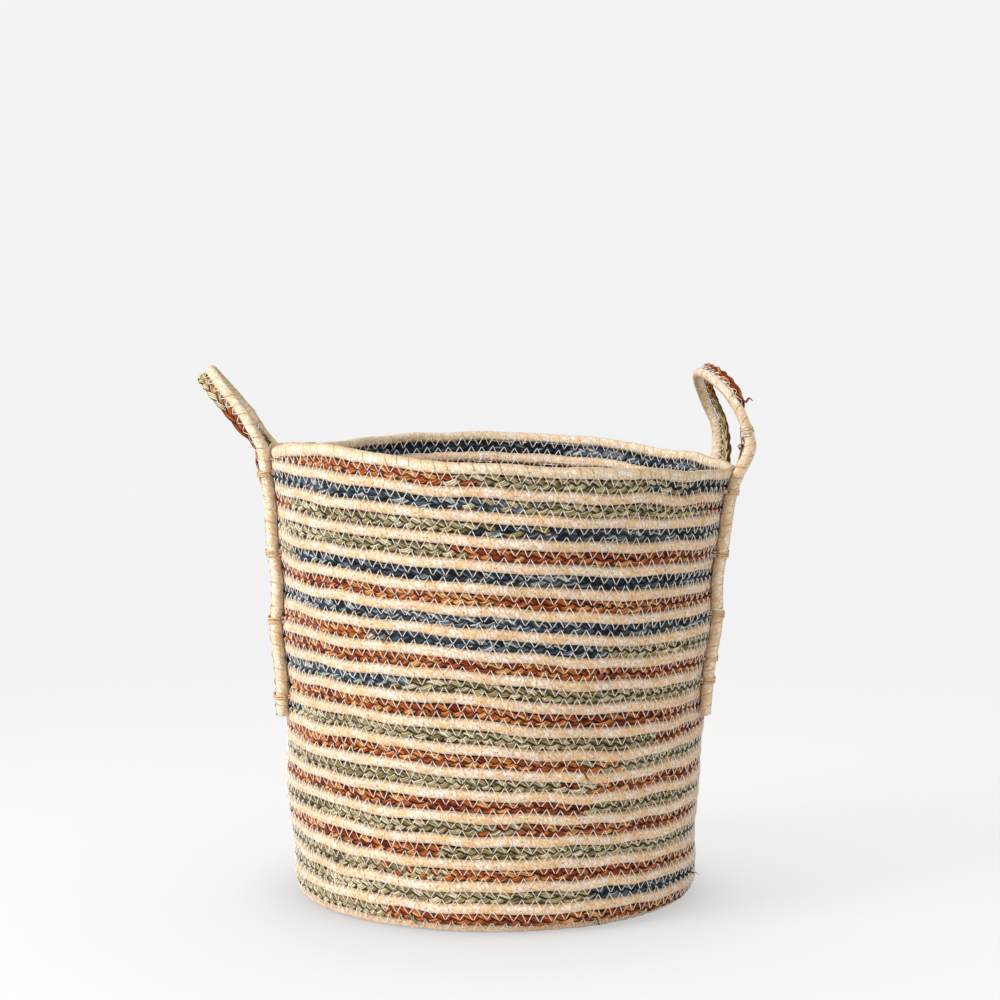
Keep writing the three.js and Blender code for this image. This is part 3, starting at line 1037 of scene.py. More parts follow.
# The colours of each dye from its darkest to its lightest leaf, each at its share of the factor.
DYE_STOPS = {
    Dye.RUST: (
        (0.05, (0.10, 0.011, 0.004)),
        (0.36, (0.35, 0.052, 0.014)),
        (0.64, (0.60, 0.150, 0.030)),
        (0.93, (0.93, 0.47, 0.16)),
    ),
    Dye.NAVY: (
        (0.08, (0.003, 0.004, 0.008)),
        (0.42, (0.025, 0.037, 0.062)),
        (0.68, (0.115, 0.158, 0.205)),
        (0.93, (0.60, 0.64, 0.64)),
    ),
    Dye.SAGE: (
        (0.05, (0.11, 0.080, 0.024)),
        (0.35, (0.35, 0.275, 0.122)),
        (0.65, (0.58, 0.485, 0.27)),
        (0.93, (0.90, 0.79, 0.54)),
    ),
    Dye.STRAW: (
        (0.05, (0.20, 0.095, 0.025)),
        (0.36, (0.58, 0.38, 0.16)),
        (0.66, (0.82, 0.62, 0.35)),
        (0.93, (0.94, 0.83, 0.61)),
    ),
}
# A near-black painted as shade between and under a plait's strands.
PAINTED_SHADE_COLOUR = (0.008, 0.005, 0.004, 1)
# The thread's colours from the grooves of its twist to its crowns; the grooves are painted darker, as
# shade.
THREAD_STOPS = ((0.0, (0.84, 0.81, 0.76)), (0.3, (0.97, 0.96, 0.93)))
THREAD_TURNS_PER_METRE = 900.0


@dataclass(frozen=True)
class Wrap:
    """How a leaf strip is wound round a cord."""

    pitch: float
    line: float
    # How strongly the cord's edges are painted in shade.
    edge: float
    tan: float = 0.0
    palette: Palette = Palette()


@dataclass(frozen=True)
class LeafGraph:
    """A leaf material being built: its graph, its shader, the husk's look and the texture place."""

    material: Material
    graph: Graph
    shader: Node
    husk: Node
    place: Node

    def cordside(self) -> Socket:
        """Give how near a point of a piece's section lies to either end of its width."""
        turn = self.graph.math("MULTIPLY", self.place.outputs["Y"], TURN)
        return self.graph.math("ABSOLUTE", self.graph.math("COSINE", turn))


def leaf_base(leaf: Leaf, husk: NodeTree, along_strand: bool = False) -> LeafGraph:
    """Start a leaf material.

    Args:
        leaf: its finish.
        husk: the husk leaf's node group.
        along_strand: the fibres run along the piece, and not round it.

    Returns:
        The started material.
    """
    material, g = new_material(leaf.name)
    gloss = {"Roughness": leaf.roughness, "Specular IOR Level": leaf.gloss}
    shader = g.node("ShaderNodeBsdfPrincipled", gloss)
    g.surface(shader.outputs[0])
    place = g.node("ShaderNodeUVMap", uv_map="along_around")
    parts = g.node("ShaderNodeSeparateXYZ", {"Vector": place.outputs[0]})
    along, around = parts.outputs["X"], g.math("MULTIPLY", parts.outputs["Y"], leaf.around)
    if along_strand:
        along, around = around, along
    given = {
        "Along": along,
        "Around": around,
        "Slant": leaf.slant,
        "Fibre Pitch": leaf.pitch,
        "Fibre Length": leaf.length,
    }
    look = g.node("ShaderNodeGroup", node_tree=husk)
    g.fed(look, given)
    return LeafGraph(material, g, shader, look, parts)


def natural_material(leaf: Leaf, husk: NodeTree, wrap: Wrap) -> Material:
    """Make undyed husk, wrapped round a cord in a strip whose edge shows as a shadowed line.

    Args:
        leaf: its finish.
        husk: the husk leaf's node group.
        wrap: how the strip is wound.

    Returns:
        The material.
    """
    base = leaf_base(leaf, husk)
    g, look, colours = base.graph, base.husk.outputs, wrap.palette
    patch, straw = look["Patch"], colours.straw
    colour = g.mix(g.step(patch, 0.38, 0.60), colours.pale, colours.cream)
    blotch = g.math("MULTIPLY", g.step(patch, 0.60, 0.74), 0.75)
    colour = g.mix(wrap.tan, g.mix(blotch, colour, straw), straw)
    streak = g.math("MULTIPLY", g.step(look["Fibre"], 0.52, 0.76), 0.34)
    colour = g.mix(streak, colour, straw)
    colour = g.mix(g.math("MULTIPLY", look["Crease"], 0.6), colour, straw)
    # Painted shade: the cord darkens to a tan brown towards the edges of its section, beside the seams.
    edge_shade = g.math("MULTIPLY", g.step(base.cordside(), 0.62, 1.0), wrap.edge)
    colour = g.mix(edge_shade, colour, colours.edge_shade)
    colour = g.mix(g.math("MULTIPLY", look["Fleck"], 0.8), colour, colours.fleck)
    turns = g.math("DIVIDE", base.place.outputs["X"], wrap.pitch)
    turns = g.math("ADD", turns, base.place.outputs["Y"])
    edge = g.math("FRACT", g.math("ADD", turns, g.math("MULTIPLY", patch, 0.5)))
    line = g.math("SUBTRACT", 1.0, g.step(edge, 0.0, 0.12))
    line = g.math("MULTIPLY", line, g.step(patch, 0.38, 0.56))
    line = g.math("MULTIPLY", line, wrap.line)
    colour = g.mix(line, colour, colours.shadow)
    g.put(base.shader.inputs["Base Color"], colour)
    lap = g.math("MULTIPLY", g.math("SUBTRACT", 1.0, edge), wrap.line)
    height = g.math("SUBTRACT", g.math("ADD", look["Height"], lap), line)
    g.relief(base.shader, height, leaf.bump)
    return base.material


def dyed_material(leaf: Leaf, husk: NodeTree, strips: NodeTree) -> Material:
    """Make dyed leaf, whose dye, tone and the painted shade of its creases come from the piece's own
    attributes.

    Args:
        leaf: its finish.
        husk: the husk leaf's node group.
        strips: the rolled strips' node group.

    Returns:
        The material.
    """
    base = leaf_base(leaf, husk, along_strand=True)
    g, look, place = base.graph, base.husk.outputs, base.place.outputs
    dye, tone, deep = (
        g.node("ShaderNodeAttribute", attribute_name=name) for name in ("dye", "tone", "deep")
    )
    weights = g.node("ShaderNodeSeparateXYZ", {"Vector": dye.outputs["Vector"]}).outputs
    inputs = {"Along": place["X"], "Around": place["Y"]}
    strip = g.node("ShaderNodeGroup", inputs, node_tree=strips).outputs
    uneven = g.math("MULTIPLY_ADD", look["Fibre"], 0.5, g.math("MULTIPLY", strip["Tone"], 0.75))
    tone = g.math("MULTIPLY", tone.outputs["Fac"], 0.5)
    factor = g.math("ADD", g.math("SUBTRACT", uneven, 0.38), tone)
    colour = g.ramp(factor, DYE_STOPS[Dye.STRAW])
    for axis, kind in (("X", Dye.RUST), ("Y", Dye.NAVY), ("Z", Dye.SAGE)):
        colour = g.mix(weights[axis], colour, g.ramp(factor, DYE_STOPS[kind]))
    # Painted shade: the colour darkens almost to black at the strands' side edges, in the grooves
    # between their strips and where a strand lies deep under its neighbours.
    edge = g.math("MULTIPLY", g.step(base.cordside(), 0.60, 0.95), 0.97)
    shade = g.math("MAXIMUM", g.math("MULTIPLY", strip["Groove"], 0.62), edge)
    shade = g.math("MAXIMUM", shade, g.math("MULTIPLY", deep.outputs["Fac"], 0.75))
    colour = g.mix(shade, colour, g.mix(0.95, colour, PAINTED_SHADE_COLOUR))
    g.put(base.shader.inputs["Base Color"], colour)
    height = g.math("MULTIPLY", look["Height"], 0.5)
    height = g.math("MULTIPLY_ADD", strip["Height"], 0.8, height)
    g.relief(base.shader, height, leaf.bump)
    return base.material


def thread_material() -> Material:
    """Make the white sewing thread, whose fine twist is a wave along and round it."""
    material, g = new_material("white_thread")
    shader = g.node("ShaderNodeBsdfPrincipled", {"Roughness": 0.6})
    g.surface(shader.outputs[0])
    place = g.node("ShaderNodeUVMap", uv_map="along_around")
    parts = g.node("ShaderNodeSeparateXYZ", {"Vector": place.outputs[0]}).outputs
    turns = g.math("MULTIPLY_ADD", parts["X"], THREAD_TURNS_PER_METRE, parts["Y"])
    ply = g.math("PINGPONG", turns, 0.5)
    # Painted shade: the thread is darker in the grooves of its twist.
    g.put(shader.inputs["Base Color"], g.ramp(ply, THREAD_STOPS))
    g.relief(shader, ply, 0.1 * MM)
    return material


def hole_material() -> Material:
    """Make the shadowed needle holes."""
    material, g = new_material("needle_hole")
    # The plugs' dark brown is painted shade inside the needle holes.
    inputs = {"Roughness": 0.9, "Base Color": (0.36, 0.19, 0.08, 1)}
    g.surface(g.node("ShaderNodeBsdfPrincipled", inputs).outputs[0])
    return material


CORD_LEAF = Leaf("natural_husk_cord", 27 * MM, 0.45, 1.1 * MM, 7 * MM, 1.0 * MM)
STRAP_LEAF = Leaf("natural_husk_strap", 28 * MM, 0.35, 1.1 * MM, 12 * MM, 0.7 * MM)
PLAIT_LEAF = Leaf("dyed_husk_plait", 12 * MM, 0.15, 0.7 * MM, 30 * MM, 0.6 * MM, 0.56, 0.14)
TWINE_LEAF = Leaf("husk_twine", 6 * MM, 0.9, 0.6 * MM, 10 * MM, 0.2 * MM, 0.6)
PALE_STRAP = Palette((0.94, 0.86, 0.75, 1), (0.87, 0.71, 0.50, 1), (0.66, 0.44, 0.22, 1))


@dataclass(frozen=True)
class Finishes:
    """All the materials of the basket."""

    cord: Material
    strap: Material
    plait: Material
    thread: Material
    hole: Material
    twine: Material


def make_finishes() -> Finishes:
    """Build every material once."""
    husk = Husk().group()
    strips = Strips().group()
    return Finishes(
        natural_material(CORD_LEAF, husk, Wrap(pitch=21 * MM, line=0.30, edge=0.45)),
        natural_material(STRAP_LEAF, husk, Wrap(9.5 * MM, 0.9, 0.45, palette=PALE_STRAP)),
        dyed_material(PLAIT_LEAF, husk, strips),
        thread_material(),
        hole_material(),
        natural_material(TWINE_LEAF, husk, Wrap(4 * MM, 0.3, 0.2, tan=0.55)),
    )


# The coil


@dataclass(frozen=True)
class Stretch:
    """A stretch of the coil between two turns, with its length measured along it."""

    first: float
    last: float
    step: float

    def turns(self, edges: Edges) -> tuple[Array, Array]:
        """Space turns evenly by length.

        Args:
            edges: gives the course's lower and upper edge at each turn.

        Returns:
            The turns, and the length at each.
        """
        fine = np.linspace(self.first, self.last, max(64, int(400 * (self.last - self.first))))
        places = BASKET.point(sum(edges(fine)) / 2, BASKET.angle(fine), 0 * fine)
        length = lengths_to(places)
        along = np.linspace(0, length[-1], max(8, int(length[-1] / self.step)))
        return np.interp(along, length, fine), along


# How a cord's radius swells and pinches, and how lumpy it is: the share, and the shortest and
# longest wave. Then the pitch of its strip's turns, and the share by which a turn laps the last.
SWELL = (0.035, 14 * MM, 90 * MM)
LUMPS = (0.03, 6 * MM, 20 * MM)
LAP_PITCH = 21 * MM
LAP = 0.035


def wrapped_rings(along: Array, seed: int, rings: Array, middle: Array) -> Array:
    """Roughen a cord's rings: it swells and pinches, and its strip laps over itself."""
    around = (np.arange(rings.shape[1]) + 0.5) / rings.shape[1]
    swell = Wander(seed, *SWELL).at(along)[:, None]
    lumps = Wander(seed + 1, *LUMPS).at(along[:, None] + around * LAP_PITCH)
    lap = ((along[:, None] / LAP_PITCH + around) % 1.0 - 0.5) * -LAP
    return middle[:, None, :] + (rings - middle[:, None, :]) * (1 + swell + lumps + lap)[..., None]


@dataclass(frozen=True)
class Cord:
    """A wrapped cord laid in the coil between two turns."""

    name: str
    first: float
    last: float
    nodes: tuple[str, ...]
    seed: int
    bound: bool = False
    step: float = 3.0 * MM
    fill: float = 0.98

    def build(self, finishes: Finishes) -> None:
        """Sweep the cord and add it as a piece."""
        turns, along = Stretch(self.first, self.last, self.step).turns(BASKET.cord_edges)
        lower, upper = BASKET.cord_edges(turns)
        middle, up, away = BASKET.frame_at((lower + upper) / 2, BASKET.angle(turns), 0 * turns)
        close = drawn_in(along, 4 * MM)
        half_width = np.maximum((upper - lower) / 2 * self.fill, 0.4 * MM) * close
        fullness = np.clip(0.35 + 0.65 * (upper - lower) / BASKET.cord_course, 0, 1)
        half_thick = BASKET.half_cord * fullness * close
        rings = rings_along(Section(12, 2.35), middle, up, away, half_width, half_thick)
        tube = Tube()
        tube.add(above_floor(wrapped_rings(along, self.seed, rings, middle)), along)
        finish = finishes.strap if self.bound else finishes.cord
        add_piece(self.name, tube, finish, "natural_leaf", nodes=self.nodes)


@dataclass(frozen=True)
class Dyeing:
    """Where a plait changes its colours."""

    starts: tuple[float, ...]
    letters: tuple[str, ...]
    scatter: float
    fade: float

    def weights(self, places: Array, strand: int) -> Array:
        """Give one strand's dye weights.

        Args:
            places: where along the plait.
            strand: which of the three.

        Returns:
            One row of weights per place.
        """
        rng = np.random.default_rng(SEED + strand)
        dyes = [np.array(DYE_OF_LETTER[names[strand]].value) for names in self.letters]
        weights = np.tile(dyes[0], (len(places), 1))
        for start, dye in zip(self.starts[1:], dyes[1:]):
            begin = start + rng.uniform(-self.scatter, self.scatter)
            share = smooth((places - begin) / self.fade)[:, None]
            weights = weights * (1 - share) + dye * share
        return weights


def strip_tones(along: Array, seed: int) -> Array:
    """Give the tone of the leaf strips that follow each other in a strand."""
    rng = np.random.default_rng(seed)
    count = int((along[-1] - along[0]) / (45 * MM)) + 3
    joints = along[0] + np.cumsum(rng.uniform(20 * MM, 90 * MM, count)) - 30 * MM
    tones = rng.random(count + 1)[np.minimum(np.searchsorted(joints, along), count)]
    return np.clip(tones + Wander(seed + 5, 0.12, 10 * MM, 50 * MM).at(along), 0, 1)


@dataclass(frozen=True)
class Lay:
    """The line that a plait follows, with its directions and half sizes at each point."""

    along: Array
    middle: Array
    across: Array
    away: Array
    half_width: Array
    half_thick: Array

    def depths(self, rings: Array) -> Array:
        """Give how deep each point of a strand's rings lies between its neighbours, from 0 to 1; the
        finish paints shade by it.
        """
        place = rings - self.middle[:, None, :]
        ways = ((self.away, self.half_thick), (self.across, self.half_width))
        out, side = (
            np.abs(np.sum(place * way[:, None, :], axis=-1)) / np.maximum(size, TINY)[:, None]
            for way, size in ways
        )
        low = 1 - smooth((out + 0.1) / 0.5)
        return np.clip(np.maximum(low, smooth((side - 0.86) / 0.22)), 0, 1)


@dataclass(frozen=True)
class Plaiting:
    """How three strands cross in a flat plait.

    Each swings across as the sine of its phase and passes over and under as the sine of twice its
    phase. All sizes but the lengths are shares of the plait's half width and half thickness.
    """

    period: float = 31 * MM
    swing: float = 0.55
    lift: float = 0.46
    half_width: float = 0.56
    half_thick: float = 0.46
    lean: float = 0.7
    step: float = 2.0 * MM
    section: Section = Section(8, 2.2)
    close_over: float = 3 * MM
    texture_shift: float = 7.0

    def rings(self, strand: int, lay: Lay, seed: int) -> Array:
        """Give one strand's rings.

        Args:
            strand: which of the three.
            lay: the plait's line.
            seed: which small faults it has.

        Returns:
            The rings along the plait's middle line.
        """
        along, half_width = lay.along, lay.half_width
        pace = Wander(seed, 12 * MM, 0.12, 0.6).at(along)
        phase = TURN * ((along + pace) / self.period + strand / 3)
        size = 1 + Wander(seed + 11 + strand, 0.10, 12 * MM, 50 * MM).at(along)
        swing = self.swing * (1 + Wander(seed + 21 + strand, 0.10, 20 * MM, 80 * MM).at(along))
        side = np.sin(phase) * swing * half_width
        lift = np.sin(2 * phase) * self.lift * lay.half_thick
        centre = lay.middle + lay.across * side[:, None] + lay.away * lift[:, None]
        forward = headings(centre, along)
        tilt = (self.lean * side / (self.swing * np.maximum(half_width, TINY)))[:, None]
        normal = unit(lay.away * np.cos(tilt) + lay.across * np.sin(tilt))
        wide = unit(np.cross(normal, forward))
        normal = unit(np.cross(forward, wide))
        size = size * drawn_in(along, self.close_over)
        wide_half, thick_half = self.half_width * half_width, self.half_thick * lay.half_thick
        return rings_along(self.section, centre, wide, normal, wide_half * size, thick_half * size)

    def add_strand(
        self, tube: Tube, strand: int, lay: Lay, seed: int, dyes: Array, tone: Array
    ) -> None:
        """Add one strand to a tube, with the values that its finish reads."""
        rings = above_floor(self.rings(strand, lay, seed))
        place = lay.along + self.texture_shift * strand
        tube.add(rings, place, {"dye": dyes, "tone": tone}, {"deep": lay.depths(rings)})


PLAITING = Plaiting()
COIL_DYES = Dyeing(
    starts=tuple(-BASKET.turn_at(row[0], bearing) for row in PLAIT_DYES for bearing, _ in row[1:]),
    letters=tuple(names for row in PLAIT_DYES for _, names in row[1:]),
    scatter=0.012,
    fade=0.006,
)


@dataclass(frozen=True)
class Plait:
    """A length of plait laid in the coil between two turns."""

    name: str
    first: float
    last: float
    nodes: tuple[str, ...]
    slot: str
    seed: int
    fill: float = 1.15

    def build(self, finishes: Finishes) -> None:
        """Sweep the three strands and the core, and add each as a piece."""
        turns, along = Stretch(self.first, self.last, PLAITING.step).turns(BASKET.plait_edges)
        lower, upper = BASKET.plait_edges(turns)
        middle, up, away = BASKET.frame_at((lower + upper) / 2, BASKET.angle(turns), 0 * turns)
        share = np.clip((upper - lower) / BASKET.plait_course, 0.12, 1)
        half_width = share * BASKET.plait_course / 2 * self.fill
        lay = Lay(along, middle, up, away, half_width, BASKET.half_plait * np.sqrt(share))
        for strand in range(3):
            tube = Tube()
            tone = strip_tones(along, self.seed + 31 * strand)
            dyes = COIL_DYES.weights(-turns, strand)
            PLAITING.add_strand(tube, strand, lay, self.seed, dyes, tone)
            nodes = self.nodes if strand == 0 else ()
            name = f"{self.name}_strand_{strand + 1}"
            add_piece(name, tube, finishes.plait, self.slot, nodes=nodes)
        self.build_core(lay, finishes)

    def build_core(self, lay: Lay, finishes: Finishes) -> None:
        """Lay the inner strips that fill the plait between its strands, and add them as a piece."""
        last = len(lay.along) - 1
        few = np.unique(np.append(np.arange(0, last + 1, 3), last))
        section = Section(6, 3.0)
        wide, thick = lay.half_width[few] * 1.05, lay.half_thick[few] * 0.22
        rings = rings_along(section, lay.middle[few], lay.across[few], lay.away[few], wide, thick)
        values = {"dye": np.tile(Dye.SAGE.value, (len(few), 1)), "tone": np.zeros(len(few))}
        # The core is painted in deep shade all over, as it lies inside the plait under its strands.
        deep = np.full((len(few), section.sides), 0.8)
        tube = Tube()
        tube.add(above_floor(rings), lay.along[few], values, {"deep": deep})
        add_piece(f"{self.name}_core", tube, finishes.plait, self.slot)


@dataclass(frozen=True)
class Zigzag:
    """A machine's zigzag along a seam.

    Args:
        period: the length of one V.
        reach: how far the points lie from the seam, either way.
        dip: how deep the thread goes in at its points.
        sunk: how high it lies over the cord, which it draws in.
        bulge: how far the dark plug, painted as the shade inside a hole, stands out, either way.
        lift: how far off the surface the plug's middle lies.
    """

    period: float = 9.7 * MM
    reach: float = 4.0 * MM
    radius: float = 0.34 * MM
    dip: float = 0.7 * MM
    sunk: float = -0.14 * MM
    hole: float = 0.45 * MM
    bulge: float = 0.1 * MM
    lift: float = 0.25 * MM

    def stitch(
        self, tube: Tube, holes: Tube, place: Place, corners: int, cord_side: float, seed: int
    ) -> None:
        """Run the thread from corner to corner over a surface.

        Args:
            tube: takes the thread.
            holes: takes the needle holes in the cord.
            place: gives points and directions out of the surface, for corners counted along the
                seam, how far across the seam and how far above the surface they lie.
            corners: how many points the zigzag has.
            cord_side: 1 where the cord lies on the side that counts up across the seam, else -1.
            seed: which small faults it has.
        """
        rng = np.random.default_rng(seed)
        corner = np.arange(corners, dtype=float)
        corner += rng.normal(0, 0.06, corners)
        across = np.where(np.arange(corners) % 2, 1.0, -1.0) * self.reach
        across *= 1 + rng.normal(0, 0.09, corners)
        in_cord = np.sign(across) == cord_side
        height = np.where(in_cord, self.sunk, self.radius * 0.9)
        shares = np.array([0.0, 0.16, 0.84])
        at = corner[:-1, None] + np.diff(corner)[:, None] * shares
        over = across[:-1, None] + np.diff(across)[:, None] * shares
        above = np.stack([np.full(corners - 1, -self.dip), height[:-1], height[1:]], axis=-1)
        points, away = place(at.ravel(), over.ravel(), above.ravel())
        forward = headings(points)
        side = unit(np.cross(forward, away))
        up = unit(np.cross(side, forward))
        radius = np.full(len(points), self.radius)
        rings = rings_along(Section(3), points, side, up, radius, radius)
        tube.add(rings, np.arange(len(points)) * self.period / 6)
        corner, across = corner[in_cord], across[in_cord]
        sizes = self.hole * rng.uniform(0.3, 1.3, len(corner))[:, None]
        centre, away = place(corner, across * 1.04, np.full(len(corner), self.lift))
        level = headings(centre)
        level = unit(level - away * np.sum(level * away, axis=1, keepdims=True)) * sizes
        rise = np.cross(away, level)
        corners = np.stack([centre + level, centre + rise, centre - level, centre - rise], axis=1)
        tips = np.stack([centre + away * self.bulge, centre - away * self.bulge], axis=1)
        holes.add_studs(above_floor(corners), above_floor(tips))


THREAD_ON_PLAIT = 0.92
ZIGZAG = Zigzag()
STRAP_ZIGZAG = Zigzag(period=8.4 * MM, reach=3.0 * MM, radius=0.28 * MM, hole=0.35 * MM)


@dataclass(frozen=True)
class SeamThread:
    """The thread over every seam of a stretch of the coil, on one of its faces.

    Args:
        sign: 1 for the face outside, -1 for the face inside.
        short_of: how far short of the rim cord's last turn and of the plait's end it stops.
    """

    name: str
    sign: float
    first: float
    last: float
    seed: int
    short_of: tuple[float, float] = (1.02, 0.012)

    def height(self, across: Array, cord_up: float) -> Array:
        """Give how far out the thread runs over a seam, between the cord and the plait."""
        toward_plait = np.clip(0.5 - across * cord_up / (2 * ZIGZAG.reach), 0, 1)
        cord, plait = BASKET.half_cord, BASKET.half_plait * THREAD_ON_PLAIT
        return self.sign * (cord + (plait - cord) * toward_plait)

    def seam(self, edge: Callable, cord_up: float, end: float) -> tuple[Place, int]:
        """Lay one seam.

        Args:
            edge: gives the seam's place along the side line at each turn.
            cord_up: 1 where the cord lies above the seam, else -1.
            end: the turn at which it ends.

        Returns:
            What places the zigzag's corners over it, and how many of them it has.
        """
        fine = np.linspace(self.first, end, int(300 * (end - self.first)) + 2)
        length = lengths_to(BASKET.point(edge(fine), BASKET.angle(fine), 0 * fine))

        def place(corner: Array, across: Array, above: Array) -> tuple:
            """Give points over the seam and the directions out of the surface there."""
            turn = np.interp(corner * ZIGZAG.period / 2, length, fine)
            out = self.height(across, cord_up) + self.sign * above
            points, _, away = BASKET.frame_at(edge(turn) + across, BASKET.angle(turn), out)
            return above_floor(points, ZIGZAG.radius * 1.1), away * self.sign

        return place, int(length[-1] / (ZIGZAG.period / 2))

    def build(self, finishes: Finishes) -> None:
        """Sew both seams beside the cord, and add the thread and its needle holes as pieces."""
        tube, holes = Tube(), Tube()
        ends = np.minimum(self.last, (BASKET.cord_end, BASKET.plait_end) - np.array(self.short_of))
        courses = ((BASKET.cord_edges, -1.0), (BASKET.plait_edges, 1.0))
        for number, ((edges, cord_up), end) in enumerate(zip(courses, ends)):
            place, corners = self.seam(lambda turn, edges=edges: edges(turn)[1], cord_up, end)
            ZIGZAG.stitch(tube, holes, place, corners, cord_up, self.seed + number)
        add_piece(self.name, tube, finishes.thread, "natural_leaf")
        add_piece(f"{self.name}_holes", holes, finishes.hole, "natural_leaf")


# The handles


def leg_frame(
    handle: Handle, leg: Leg, height: Array, out: float = STRAP.out
) -> tuple[Array, Array, Array]:
    """Lay a lashed leg over the wall.

    Args:
        handle: the leg's handle.
        leg: the leg.
        height: the places up the leg.
        out: how far out from the middle of the wall it lies.

    Returns:
        The leg's middle, and its directions across the strap and away from the wall.
    """
    side = handle.side.value
    height = np.asarray(height, float)
    run = BASKET.flat_run + BASKET.corner_run + height - BASKET.wall_foot
    climbed = (height - handle.leg_bottom) / (LEG_TOP - handle.leg_bottom)
    turn = leg.lower_turn + (leg.turn - leg.lower_turn) * climbed
    angle = side * TURN / 4 + side * leg.end * TURN * turn
    middle, up, away = BASKET.frame_at(run, angle, np.full_like(run, out))
    across = unit(np.cross(up, away))
    return middle, across * np.sign(across[:, 1:2] * leg.end), away


@dataclass(frozen=True)
class HingeLine:
    """The line that a loop tips about: its middle, half length, and ways along and outwards."""

    middle: Array
    half_span: float
    along: Array
    outwards: Array


def hinge_line(handle: Handle) -> HingeLine:
    """Give a handle's hinge line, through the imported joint, as long as its legs are apart."""
    joints = frame["record"]["behaviour"]["joints"]
    joint = next(joint for joint in joints if joint["child"] == handle.body)
    tops = [
        leg_frame(handle, leg, np.array([LEG_TOP]), STRAP.out + leg.stand_off)[0][0]
        for leg in (handle.front, handle.rear)
    ]
    reach = tops[1][:2] - tops[0][:2]
    span = float(np.linalg.norm(reach))
    along = np.array([reach[0] / span, reach[1] / span, 0.0])
    outwards = np.array([along[1], -along[0], 0.0]) * handle.side.value
    return HingeLine(np.array(joint["pos_m"], dtype=float), span / 2, along, outwards)


def turned(across: Array, inwards: Array, angle: Array) -> tuple[Array, Array]:
    """Turn a strap's directions across and through it about its length."""
    sine, cosine = np.sin(angle)[:, None], np.cos(angle)[:, None]
    return across * cosine + inwards * sine, inwards * cosine - across * sine


def leg_lines(handle: Handle, leg: Leg, height: Array) -> tuple[Array, Array, Array]:
    """Roll a leg's plait outwards about its cord, the more the nearer the hinge."""
    middle, across, away = leg_frame(handle, leg, height)
    cord = middle + across * STRAP.cord_offset
    upper = smooth((height - LEG_TOP) / STRAP.roll_over + 1)
    roll = np.radians(leg.roll[0] + (leg.roll[1] - leg.roll[0]) * upper)
    return cord, *turned(across, -away, roll)


def loop_frames(handle: Handle) -> tuple[Array, Array, Array]:
    """Lay a handle's loop.

    From each hinge the strap runs straight, then round a half ellipse, in a sheet whose lean
    changes evenly from the hinge to the top, while it twists through a quarter turn.

    Args:
        handle: the handle.

    Returns:
        The line of its cord, and its directions across and through the strap.
    """
    hinge = hinge_line(handle)
    straight = handle.straight
    rise = handle.run - straight
    arch_run = TURN / 4 * math.sqrt((hinge.half_span**2 + rise**2) / 2)
    half = straight + arch_run
    gone = np.linspace(0, 2 * half, 121)
    from_hinge = np.minimum(gone, 2 * half - gone)
    end = np.where(gone < half, -1.0, 1.0)
    arch = TURN / 4 * np.maximum(0, (from_hinge - straight) / arch_run)
    climb = np.minimum(from_hinge, straight) + rise * np.sin(arch)
    first, last = np.radians(np.array(handle.lean))
    tilt = first + (last - first) * climb / handle.run
    bend = (last - first) / handle.run
    outwards = ((math.cos(first) - np.cos(tilt)) / bend)[:, None]
    upwards = ((np.sin(tilt) - math.sin(first)) / bend)[:, None]
    sideways = (end * hinge.half_span * np.cos(arch))[:, None]
    middle = hinge.middle + hinge.along * sideways + hinge.outwards * outwards + UP * upwards
    sine, cosine = np.sin(tilt)[:, None], np.cos(tilt)[:, None]
    up_sheet = hinge.outwards * sine + UP * cosine
    inwards = UP * sine - hinge.outwards * cosine
    level = hinge.along * end[:, None]
    outer = level * (rise * np.cos(arch))[:, None]
    outer = outer + up_sheet * (hinge.half_span * np.sin(arch))[:, None]
    outer = np.where((arch > 0)[:, None], unit(outer), level)
    solid = TURN / 4 * smooth((from_hinge - handle.twist[0]) / handle.twist[1])
    cord = middle + turned(outer, inwards, solid)[0] * STRAP.cord_offset
    bend = np.exp(-(((from_hinge - STRAP.pull_at) / STRAP.pull_at) ** 2))
    pull = np.where(end < 0, handle.front.pull, handle.rear.pull) * bend
    cord[:, 0] -= handle.side.value * pull
    twist = np.zeros_like(gone)
    for leg in (handle.front, handle.rear):
        share = smooth((from_hinge - leg.twist[0]) / leg.twist[1])
        angle = math.radians(leg.roll[1]) * (1 - share) + TURN / 4 * share
        twist = np.where(end == leg.end, angle, twist)
    return cord, *turned(outer, inwards, twist)


def smoothed(rows: Array, width: int) -> Array:
    """Average rows along a line, with the ends kept."""
    kernel = np.hanning(2 * width + 3)[1:-1]
    kernel /= kernel.sum()
    before, after = 2 * rows[:1] - rows[width:0:-1], 2 * rows[-1:] - rows[-2 : -width - 2 : -1]
    padded = np.concatenate([before, rows, after])
    return np.stack([np.convolve(padded[:, k], kernel, "valid") for k in range(3)], axis=-1)


@dataclass(frozen=True)
class StrapLine:
    """A whole strap's line, from the front leg's end over the loop to the rear leg's end.

    Args:
        across: the directions from its plait to its cord.
        through: the directions through it.
        slim: the sizes of its cord and its plait, as shares of the lashed ones.
    """

    along: Array
    cord: Array
    across: Array
    through: Array
    slim: tuple[Array, Array]

    @property
    def seam(self) -> Array:
        """How far the seam lies from the cord's middle."""
        return STRAP.cord_radius * self.slim[0] + STRAP.ply_gap / 2

    @property
    def plait(self) -> Array:
        """The middle of its plait."""
        reach = self.seam + STRAP.ply_gap / 2 + STRAP.plait_half_width * self.slim[1]
        return self.cord - self.across * reach[:, None]

    def frame_at(self, line: Array, at: Array) -> tuple[Array, ...]:
        """Give a line's points, and the directions across and through the strap, at some places."""
        return tuple(rows_at(at, self.along, rows) for rows in (line, self.across, self.through))


